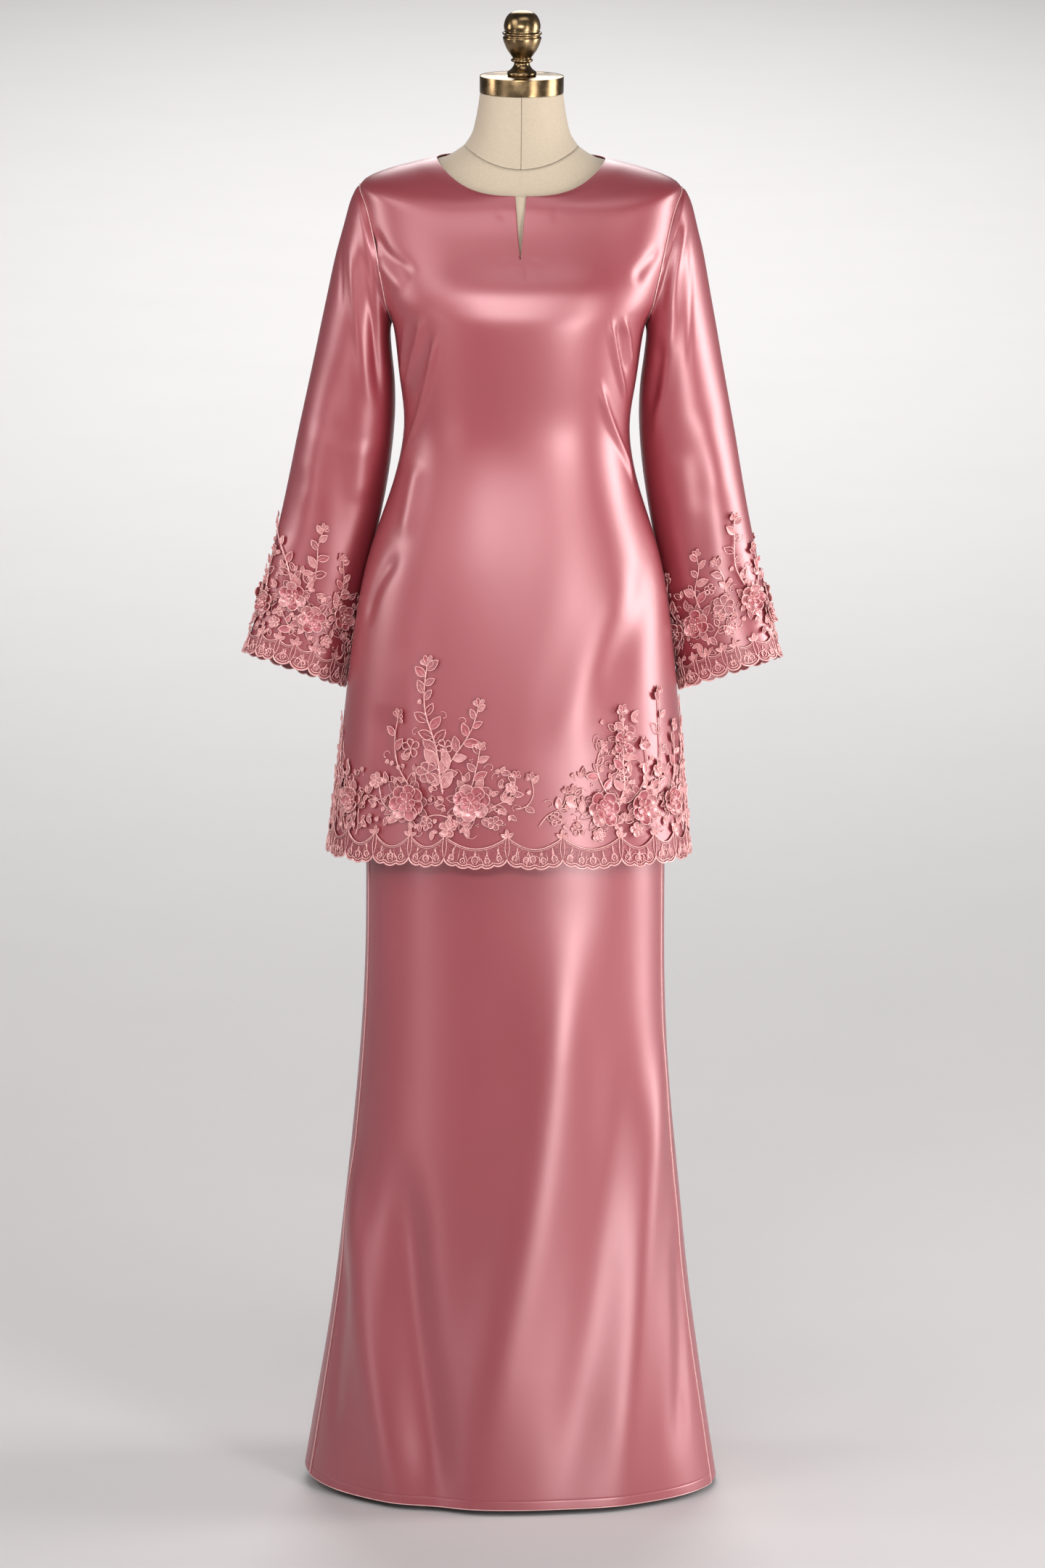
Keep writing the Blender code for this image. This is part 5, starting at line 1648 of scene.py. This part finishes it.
def pattern_work(pattern, band, seed, spacing):
    """All of a pattern's raised work, its smallest motifs at least a spacing apart."""
    work = Needlework(seed)
    for start, end in zip(pattern.notches, pattern.notches[1:]):
        scallop_work(work, start, end, band)
    for along in pattern.notches[1:-1]:
        notch_work(work, along, band)
    for flower in pattern.flowers:
        work.flower((flower.along, flower.up), flower.size, flower.petals, flower.turn, flower.kind)
    for spray in pattern.sprays:
        work.spray(spray.line, spray.thickness, spray.leaf, spray.leaves)
    for tendril in pattern.tendrils:
        work.curl((tendril.along, tendril.up), tendril.size, tendril.heading, tendril.way)
    for thicket in pattern.thickets:
        work.thicket(thicket.start, thicket.end, thicket.count, thicket.tallest)
    work.filling(pattern.flowers, band.peak + 3, spacing)
    return work


# A border's seed starts its random draws, and its spacing keeps its smallest motifs apart.
BORDERS = table(
    "name side pattern band seed spacing",
    ("hem_lace_front", "front", HEM_FRONT, HEM_BAND, 41, 8.5),
    ("hem_lace_back", "back", HEM_BACK, HEM_BAND, 42, 12.0),
    ("cuff_lace_left", "left", CUFF_LEFT, CUFF_BAND, 43, 9.5),
    ("cuff_lace_right", "right", CUFF_RIGHT, CUFF_BAND, 44, 9.5),
)


def make_lace(border, materials, net):
    """One lace border: its net band, and its cords, flowers and beads, with notches at the cloth's ends."""
    ground, left, right = hem_ground(border.side) if border.band is HEM_BAND else cuff_ground(border.side)
    notches = (-left, *border.pattern.notches[1:-1], right)
    pattern = border.pattern._replace(notches=notches)
    work = pattern_work(pattern, border.band, border.seed, border.spacing)
    placed(work.made(f"{border.name}_work", ground, materials), "lace")
    placed(band_net(f"{border.name}_net", ground, notches, border.band, net), "lace", border.name)


# ---- materials


BRASS_DARK = (0.20, 0.135, 0.070)
BRASS_LIGHT = (0.36, 0.26, 0.150)


class Nodes:
    """Short calls for building a material's nodes."""

    def __init__(self, name):
        self.material = bpy.data.materials.new(name)
        self.material.use_nodes = True
        self.tree = self.material.node_tree
        self.shader = self.tree.nodes["Principled BSDF"]

    def fill(self, node, **values):
        """Gives a node its settings, and its sockets by name with spaces as underscores."""
        for key, value in values.items():
            socket = key.replace("_", " ")
            if socket not in node.inputs:
                setattr(node, key, value)
            elif isinstance(value, bpy.types.NodeSocket):
                self.tree.links.new(value, node.inputs[socket])
            else:
                node.inputs[socket].default_value = value
        return node

    def add(self, kind, **values):
        return self.fill(self.tree.nodes.new("ShaderNode" + kind), **values)

    def place(self, scale=(1, 1, 1)):
        """Object coordinates in metres, scaled."""
        coordinates = self.add("TexCoord").outputs["Object"]
        return self.add("Mapping", Vector=coordinates, Scale=scale).outputs["Vector"]

    def noise(self, scale, detail=2.0, stretch=(1, 1, 1)):
        """Noise over stretched object coordinates."""
        vector = self.place(stretch)
        node = self.add("TexNoise", Vector=vector, Scale=scale, Detail=detail, Roughness=0.55)
        return node.outputs["Fac"]

    def ribs(self, scale, distortion, direction="X"):
        """Even ribs across one axis."""
        vector = self.place()
        node = self.add("TexWave", Vector=vector, Scale=scale, Distortion=distortion)
        node.bands_direction = direction
        return node.outputs["Fac"]

    def ramp(self, value, low, low_colour, high, high_colour):
        """One colour up to a low value, another from a high one."""
        node = self.add("ValToRGB", Fac=value)
        for element, place, colour in zip(node.color_ramp.elements, (low, high), (low_colour, high_colour)):
            element.position = place
            element.color = (*colour, 1)
        return node.outputs["Color"]

    def span(self, value, low, high, start=0.3, end=0.7):
        """The value's range from start to end, stretched to run from low to high."""
        limits = {"From_Min": start, "From_Max": end, "To_Min": low, "To_Max": high}
        return self.add("MapRange", Value=value, **limits).outputs["Result"]

    def bump(self, height, strength, distance, **under):
        """A bump of a height, on top of the one that Normal names where there is one."""
        node = self.add("Bump", Height=height, Strength=strength, Distance=distance, **under)
        return node.outputs["Normal"]

    def finish(self, **values):
        self.fill(self.shader, **values)
        return self.material


def satin_material():
    """Blush satin: a deep pink body under broad, pale, slightly streaked highlights."""
    make = Nodes("satin_looks")
    tone = make.noise(7.0, stretch=(1, 1, 0.6))
    colour = make.ramp(tone, 0.25, (0.335, 0.036, 0.056), 0.75, (0.372, 0.044, 0.066))
    streak = make.noise(1.0, stretch=(900, 900, 60))
    weave = make.noise(1.0, 1.0, (3500, 3500, 500))
    rough = make.span(make.noise(1.0, stretch=(30, 30, 8)), 0.40, 0.46)
    fine = make.bump(weave, 0.10, 0.0001)
    return make.finish(
        Base_Color=colour, Metallic=0.15, Roughness=rough, IOR=1.50, Specular_IOR_Level=0.9,
        Coat_Weight=1.0, Coat_Roughness=0.42, Coat_IOR=1.9,
        Normal=make.bump(streak, 0.10, 0.0002, Normal=fine),
    )


def linen_material():
    """Cream linen, a plain weave of slubby threads."""
    make = Nodes("linen_looks")
    slub = make.noise(1.0, 3.0, (300, 300, 900))
    weft, warp = make.ribs(450.0, 1.5, "Z"), make.ribs(450.0, 1.5)
    colour = make.ramp(slub, 0.3, (0.57, 0.475, 0.365), 0.7, (0.62, 0.525, 0.41))
    woven = make.bump(weft, 0.35, 0.0002, Normal=make.bump(warp, 0.35, 0.0002))
    return make.finish(Base_Color=colour, Roughness=0.85, Sheen_Weight=0.2, Normal=woven)


def elastic_material():
    """Covered elastic: matte pink with fine ribs."""
    make = Nodes("elastic_looks")
    ribs = make.ribs(700.0, 0.4)
    colour = make.ramp(make.noise(40.0, 3.0), 0.3, (0.46, 0.16, 0.19), 0.7, (0.53, 0.20, 0.23))
    return make.finish(Base_Color=colour, Roughness=0.6, Normal=make.bump(ribs, 0.3, 0.0003))


def brass_material():
    """Brushed brass, turned, with darker tarnish in patches."""
    make = Nodes("brass_looks")
    patches = make.noise(60.0, 4.0)
    lines = make.noise(1.0, stretch=(40, 40, 4000))
    colour = make.ramp(patches, 0.3, BRASS_DARK, 0.65, BRASS_LIGHT)
    rough = make.span(patches, 0.20, 0.34)
    brushed = make.bump(lines, 0.12, 0.0001)
    return make.finish(Base_Color=colour, Metallic=1.0, Roughness=rough, Normal=brushed)


def stand_material(name, dark, light, metallic, roughness, grain):
    """Cast or drawn metal with patches as fine as its grain."""
    make = Nodes(name)
    patches = make.noise(grain, 4.0)
    colour = make.ramp(patches, 0.3, dark, 0.7, light)
    rough = make.span(patches, roughness - 0.06, roughness + 0.08)
    bump = make.bump(patches, 0.1, 0.0002)
    return make.finish(Base_Color=colour, Metallic=metallic, Roughness=rough, Normal=bump)


def thread_material(name, dark, light, roughness, metallic):
    """Twisted embroidery thread, or a bead."""
    make = Nodes(name)
    twist = make.noise(1.0, stretch=(900, 900, 900))
    return make.finish(
        Base_Color=make.ramp(twist, 0.35, dark, 0.65, light), Roughness=roughness, Metallic=metallic,
        Specular_IOR_Level=0.6, Coat_Weight=0.4, Coat_Roughness=0.25, Coat_IOR=1.8,
        Normal=make.bump(twist, 0.3, 0.0002),
    )


def petal_material(name, dark, light):
    """Petals filled with close satin stitches."""
    make = Nodes(name)
    stitches = make.noise(1.0, stretch=(1400, 1400, 500))
    return make.finish(
        Base_Color=make.ramp(make.noise(160.0), 0.3, dark, 0.7, light), Roughness=0.40, Metallic=0.25,
        Specular_IOR_Level=0.6, Coat_Weight=0.8, Coat_Roughness=0.32, Coat_IOR=1.9,
        Normal=make.bump(stitches, 0.35, 0.0003),
    )


def net_material(name, dark, light, size):
    """Fine net over the cloth: pale threads round small openings, whose size is in millimetres. The openings
    are darker than the satin beneath them, as painted shade under the raised work.
    """
    make = Nodes(name)
    cells = make.add("TexVoronoi", feature="DISTANCE_TO_EDGE", Vector=make.place(), Scale=1 / (size * MM))
    away = cells.outputs["Distance"]
    return make.finish(
        Base_Color=make.ramp(away, 0.10, light, 0.24, dark), Roughness=0.42, Metallic=0.2,
        Coat_Weight=0.5, Coat_Roughness=0.40, Coat_IOR=1.8,
        Normal=make.bump(make.span(away, 1.0, 0.0, 0.0, 0.3), 0.6, 0.0003),
    )


def lace_materials():
    """The lace's cord, petals, pale petals, beads and net filling, in the order of their numbers."""
    return [
        thread_material("cord_looks", (0.74, 0.36, 0.355), (0.92, 0.56, 0.54), 0.22, 0.15),
        petal_material("petal_looks", (0.40, 0.075, 0.098), (0.58, 0.165, 0.19)),
        petal_material("pale_petal_looks", (0.56, 0.20, 0.215), (0.74, 0.37, 0.37)),
        thread_material("bead_looks", (0.80, 0.42, 0.42), (0.96, 0.64, 0.62), 0.12, 0.25),
        # The filling's dark net openings are painted shade under the raised petals and leaves.
        net_material("filling_painted_shade_looks", (0.15, 0.022, 0.034), (0.54, 0.19, 0.21), 1.0),
    ]


# ---- form and hardware

TORSO_FOOT = 0.9303
TORSO_LOW_TOP = 1.31
SEAM_HALF_ANGLES = np.array([-0.024, -0.012, 0, 0.012, 0.024])
SEAM_RIDGE = 0.0006
CLOSED_CENTRE = (0.01, 0.5, 0.93)
NECK_SEAM_RADIUS = 0.00035
NECK_SEAM_GROOVE = 0.0005
NECK_SEAM_WIDTH = 0.0010
NECK_RADIUS = 0.05
NECK_HEM = 0.003
CAP_BEVEL = 0.0012
SHARP_EDGE = math.radians(50)


def make_torso(material):
    """The linen torso: its own sections, then the tunic's from the bust up, less a clearance."""
    angle = np.unique(np.concatenate([whole_turn(96), math.pi / 2 + SEAM_HALF_ANGLES]))
    rings = [ring(FORM_COLUMNS, z + 0 * angle, angle) for z in np.linspace(TORSO_FOOT, TORSO_LOW_TOP, 20)]
    clearance = spline([row.row for row in CLEARANCES], [row.clearance for row in CLEARANCES])
    for row in np.linspace(UNDERARM_ROW, NECKLINE_ROW, 30):
        rows = row + 0 * angle
        inset = CLOTH_WALL + clearance(row)
        rings.append(tunic_surface(rows, angle) - inset * normals(tunic_surface, rows, angle))
    shoulder = rings[-1]
    collar = ring(NECK_COLUMNS, 0 * angle, angle) - np.array([0, 0, GAP])
    for part in np.linspace(0, 1, 14)[1:]:
        rings.append(shoulder + (collar - shoulder) * np.array([part, part, part ** 1.5]))
    rings.append(collar * np.array([0.96, 0.96, 1]) - np.array([0, 0, 0.002]))
    bottom = rings[0].mean(axis=0)
    rings = np.stack([bottom + (rings[0] - bottom) * part for part in CLOSED_CENTRE] + rings)
    rings[:, np.argmin(np.abs(angle - math.pi / 2)), 1] += SEAM_RIDGE
    placed(grid_object("form_torso_linen", rings, [material], closed=True), "linen", "form_torso")


def make_neck(material, seam_material):
    """The linen neck, and the sewn seam down its front."""
    row, turn = np.meshgrid(np.linspace(0, len(NECK) - 1, 34), whole_turn(144), indexing="ij")
    base = ring(NECK_COLUMNS, row, turn)
    normal = grid_normals(base, True)
    away = np.abs((turn - math.pi / 2 + math.pi) % (2 * math.pi) - math.pi) * NECK_RADIUS
    base = base - normal * (NECK_SEAM_GROOVE * np.exp(-((away / NECK_SEAM_WIDTH) ** 2)))[..., None]
    edged, _ = with_hems(base, normal, bottom=NECK_HEM, top=NECK_HEM)
    placed(grid_object("form_neck_linen", edged, [material], closed=True), "linen", "form_neck")
    front = base.shape[1] // 4
    line, out = base[:, front], normal[:, front]
    edge_cord("form_neck_seam", [line], [out], NECK_SEAM_RADIUS, [seam_material], slot="linen")


def smoothed(profile, steps):
    """A profile with a smooth curve through its points, a few steps from each to the next."""
    profile = np.array(profile)
    line = []
    for i in range(len(profile) - 1):
        before, start, end, after = (profile[np.clip(i + k, 0, len(profile) - 1)] for k in (-1, 0, 1, 2))
        for t in np.linspace(0, 1, steps, endpoint=False):
            straight = 2 * start + (end - before) * t
            bend = (2 * before - 5 * start + 4 * end - after) * t ** 2
            turn = (3 * start - before - 3 * end + after) * t ** 3
            line.append(0.5 * (straight + bend + turn))
    return [*line, profile[-1]]


def make_turned(name, node, profile, height, materials, steps):
    """A turned brass piece from a profile of radii and heights, closed at both ends."""
    line = smoothed(profile, steps)
    line = np.array([(1e-5, line[0][1]), *line, (1e-5, line[-1][1] + 0.0002)])
    turns = whole_turn(72)
    z = np.repeat(line[:, 1:] + height, len(turns), axis=1)
    points = np.stack([line[:, :1] * np.cos(turns), -line[:, :1] * np.sin(turns), z], axis=-1)
    piece = grid_object(name, points, materials, closed=True)
    piece.data.set_sharp_from_angle(angle=SHARP_EDGE)
    placed(piece, "brass", node)


def make_brass(materials):
    """The neck cap, a disc with bevelled edges, and the knob over it."""
    tall = CAP_TOP - CAP_BOTTOM
    corner = ((CAP_BEVEL, 0.0), (0.35 * CAP_BEVEL, 0.3 * CAP_BEVEL), (0.0, CAP_BEVEL))
    cap = [(CAP_RADIUS - inset, rise) for inset, rise in corner]
    cap += [(CAP_RADIUS - inset, tall - rise) for inset, rise in reversed(corner)]
    make_turned("neck_cap_brass", "neck_cap", cap, CAP_BOTTOM, materials, 2)
    make_turned("finial_brass", "finial", FINIAL, CAP_TOP + GAP, materials, 4)


STAND_LOOKS = table(
    "node dark light metallic roughness grain",
    ("stand_base", (0.030, 0.028, 0.027), (0.060, 0.056, 0.053), 0.4, 0.42, 90.0),
    ("stand_pole", BRASS_DARK, BRASS_LIGHT, 1.0, 0.30, 60.0),
)


def finish_stand():
    """The stand's base and pole stay the frame's own solids, with materials."""
    for look in STAND_LOOKS:
        made = stand_material(f"{look.node}_looks", *look[1:])
        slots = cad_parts[look.node].data.materials
        slots.clear()
        slots.append(made)


# ---- stage

FLOOR_SIDE = 90.0
FLOOR_COLOUR = (0.70, 0.68, 0.68)
FLOOR_SHADE = 0.985

WHITE = (1.0, 1.0, 1.0)
COOL = (1.0, 0.99, 0.98)
WARM = (1.0, 0.98, 0.98)
LAMP_DISTANCE = 3.0
LAMPS = table(
    "name azimuth elevation aim width length spread power colour",
    ("right", 94, 4, 1.00, 1.3, 2.4, 180, 60, COOL),
    ("front_right", 33, 3, 1.00, 0.8, 2.4, 180, 26, COOL),
    ("low_right", 30, -10, 0.98, 0.6, 0.8, 180, 15, COOL),
    ("low_left", -50, -10, 0.98, 0.5, 0.8, 180, 5, WARM),
    ("front", -7, 16, 1.25, 2.0, 0.38, 60, 4.6, WHITE),
    ("front_left", -42, 18, 1.10, 1.4, 1.6, 180, 7, WARM),
    ("left", -88, 6, 1.32, 0.8, 1.3, 180, 18, (1.0, 0.96, 0.95)),
    ("high_left", -56, 36, 1.20, 1.6, 1.2, 180, 14, WARM),
    ("top", 15, 62, 1.20, 2.6, 0.9, 180, 13, WHITE),
)
BACKDROP_LAMP_PLACE = (0, 10.5, 4.4)
BACKDROP_LAMP_SIZE = (4.0, 17.0)
BACKDROP_LAMP_POWER = 520
DISPLAY_GAMMA = 0.88
DISPLAY_EXPOSURE = 0.12
WORLD_COLOUR = (0.90, 0.89, 0.90)
WORLD_STRENGTH = 0.14


def add_softbox(name, place, turn, size, power, colour=WHITE, spread=180):
    light = bpy.data.lights.new(name, "AREA")
    light.spread = math.radians(spread)
    light.shape = "ELLIPSE"
    light.size, light.size_y = size
    light.energy = power
    light.color = colour
    softbox = bpy.data.objects.new(name, light)
    softbox.location = place
    softbox.rotation_euler = turn
    bpy.context.scene.collection.objects.link(softbox)


def make_lights():
    """Softboxes round the form, most of them to its right, and one over the floor behind it."""
    for lamp in LAMPS:
        azimuth, elevation = math.radians(lamp.azimuth), math.radians(lamp.elevation)
        level = math.cos(elevation) * LAMP_DISTANCE
        up = math.sin(elevation) * LAMP_DISTANCE
        back = Vector((math.sin(azimuth) * level, -math.cos(azimuth) * level, up))
        turn = back.to_track_quat("Z", "Y").to_euler()
        place = Vector((0, 0, lamp.aim)) + back
        add_softbox(lamp.name, place, turn, (lamp.width, lamp.length), lamp.power, lamp.colour, lamp.spread)
    add_softbox("backdrop", BACKDROP_LAMP_PLACE, (0, 0, 0), BACKDROP_LAMP_SIZE, BACKDROP_LAMP_POWER)


def make_stage():
    """A plain pale floor that runs on as the background, and an even pale world."""
    half = FLOOR_SIDE / 2
    data = bpy.data.meshes.new("floor")
    corners = [(-half, -half, 0), (half, -half, 0), (half, half, 0), (-half, half, 0)]
    data.from_pydata(corners, [], [(0, 1, 2, 3)])
    floor = bpy.data.objects.new("floor", data)
    bpy.context.scene.collection.objects.link(floor)
    make = Nodes("floor_looks")
    shade = tuple(FLOOR_SHADE * c for c in FLOOR_COLOUR)
    colour = make.ramp(make.noise(3.0, 3.0), 0.3, shade, 0.7, FLOOR_COLOUR)
    data.materials.append(make.finish(Base_Color=colour, Roughness=0.7))
    world = bpy.data.worlds.new("world")
    world.use_nodes = True
    background = world.node_tree.nodes["Background"]
    background.inputs["Color"].default_value = (*WORLD_COLOUR, 1)
    background.inputs["Strength"].default_value = WORLD_STRENGTH
    bpy.context.scene.world = world
    settings = bpy.context.scene.view_settings
    settings.view_transform = "Standard"
    settings.gamma = DISPLAY_GAMMA
    settings.exposure = DISPLAY_EXPOSURE


# ---- build

# Each sheet's cut, flat: its greatest width and length with its seam and hem allowances, and its area.
ON_FORM = ("form_torso_linen",)
ON_TUNIC = ("tunic_front_cloth", "tunic_back_cloth")
ON_BAND = ("skirt_waistband_elastic", "form_torso_linen")
CUTS = table(
    "piece width length area held rests_on goes_with",
    ("tunic_front_cloth", 0.580, 0.845, 0.386, "hung", ON_FORM, ()),
    ("tunic_back_cloth", 0.580, 0.830, 0.379, "hung", ON_FORM, ()),
    ("sleeve_right_cloth", 0.360, 0.600, 0.170, "hung", ON_TUNIC, ()),
    ("sleeve_left_cloth", 0.360, 0.600, 0.170, "hung", ON_TUNIC, ()),
    ("skirt_front_cloth", 0.560, 1.250, 0.563, "hung", ON_BAND, ()),
    ("skirt_back_cloth", 0.760, 1.250, 0.731, "hung", ON_BAND, ()),
    ("skirt_waistband_elastic", 0.680, 0.035, None, "gathered", ON_FORM, ()),
    ("hem_lace_front_net", 0.575, 0.040, 0.0141, "hung", ON_TUNIC[:1], ("hem_lace_front_work",)),
    ("hem_lace_back_net", 0.575, 0.040, 0.0141, "hung", ON_TUNIC[1:], ("hem_lace_back_work",)),
    ("cuff_lace_right_net", 0.350, 0.033, 0.0076, "hung", ("sleeve_right_cloth",), ("cuff_lace_right_work",)),
    ("cuff_lace_left_net", 0.350, 0.033, 0.0076, "hung", ("sleeve_left_cloth",), ("cuff_lace_left_work",)),
)


def main():
    make_camera()
    make_stage()
    make_lights()
    satin, linen, brass = [satin_material()], linen_material(), [brass_material()]
    # The edge cords' pale colour is partly a painted highlight along the rolled seam edges.
    edge = [thread_material("edge_cord_highlight_looks", (0.66, 0.36, 0.36), (0.80, 0.50, 0.49), 0.25, 0.1)]
    seam = thread_material("seam_looks", (0.16, 0.10, 0.06), (0.24, 0.16, 0.10), 0.6, 0.0)
    # The band's net has dark openings, painted shade under the raised cords.
    net = net_material("net_looks", (0.16, 0.024, 0.036), (0.42, 0.105, 0.125), 1.2)
    threads = lace_materials()
    make_tunic_front(satin)
    make_tunic_back(satin)
    for side in ("right", "left"):
        make_sleeve(side, satin)
    for side in ("front", "back"):
        make_skirt_panel(side, satin)
    make_skirt_edges(edge)
    make_armhole_cords(edge)
    make_waistband([elastic_material()])
    make_torso(linen)
    make_neck(linen, seam)
    make_brass(brass)
    for border in BORDERS:
        make_lace(border, threads, net)
    finish_stand()


main()
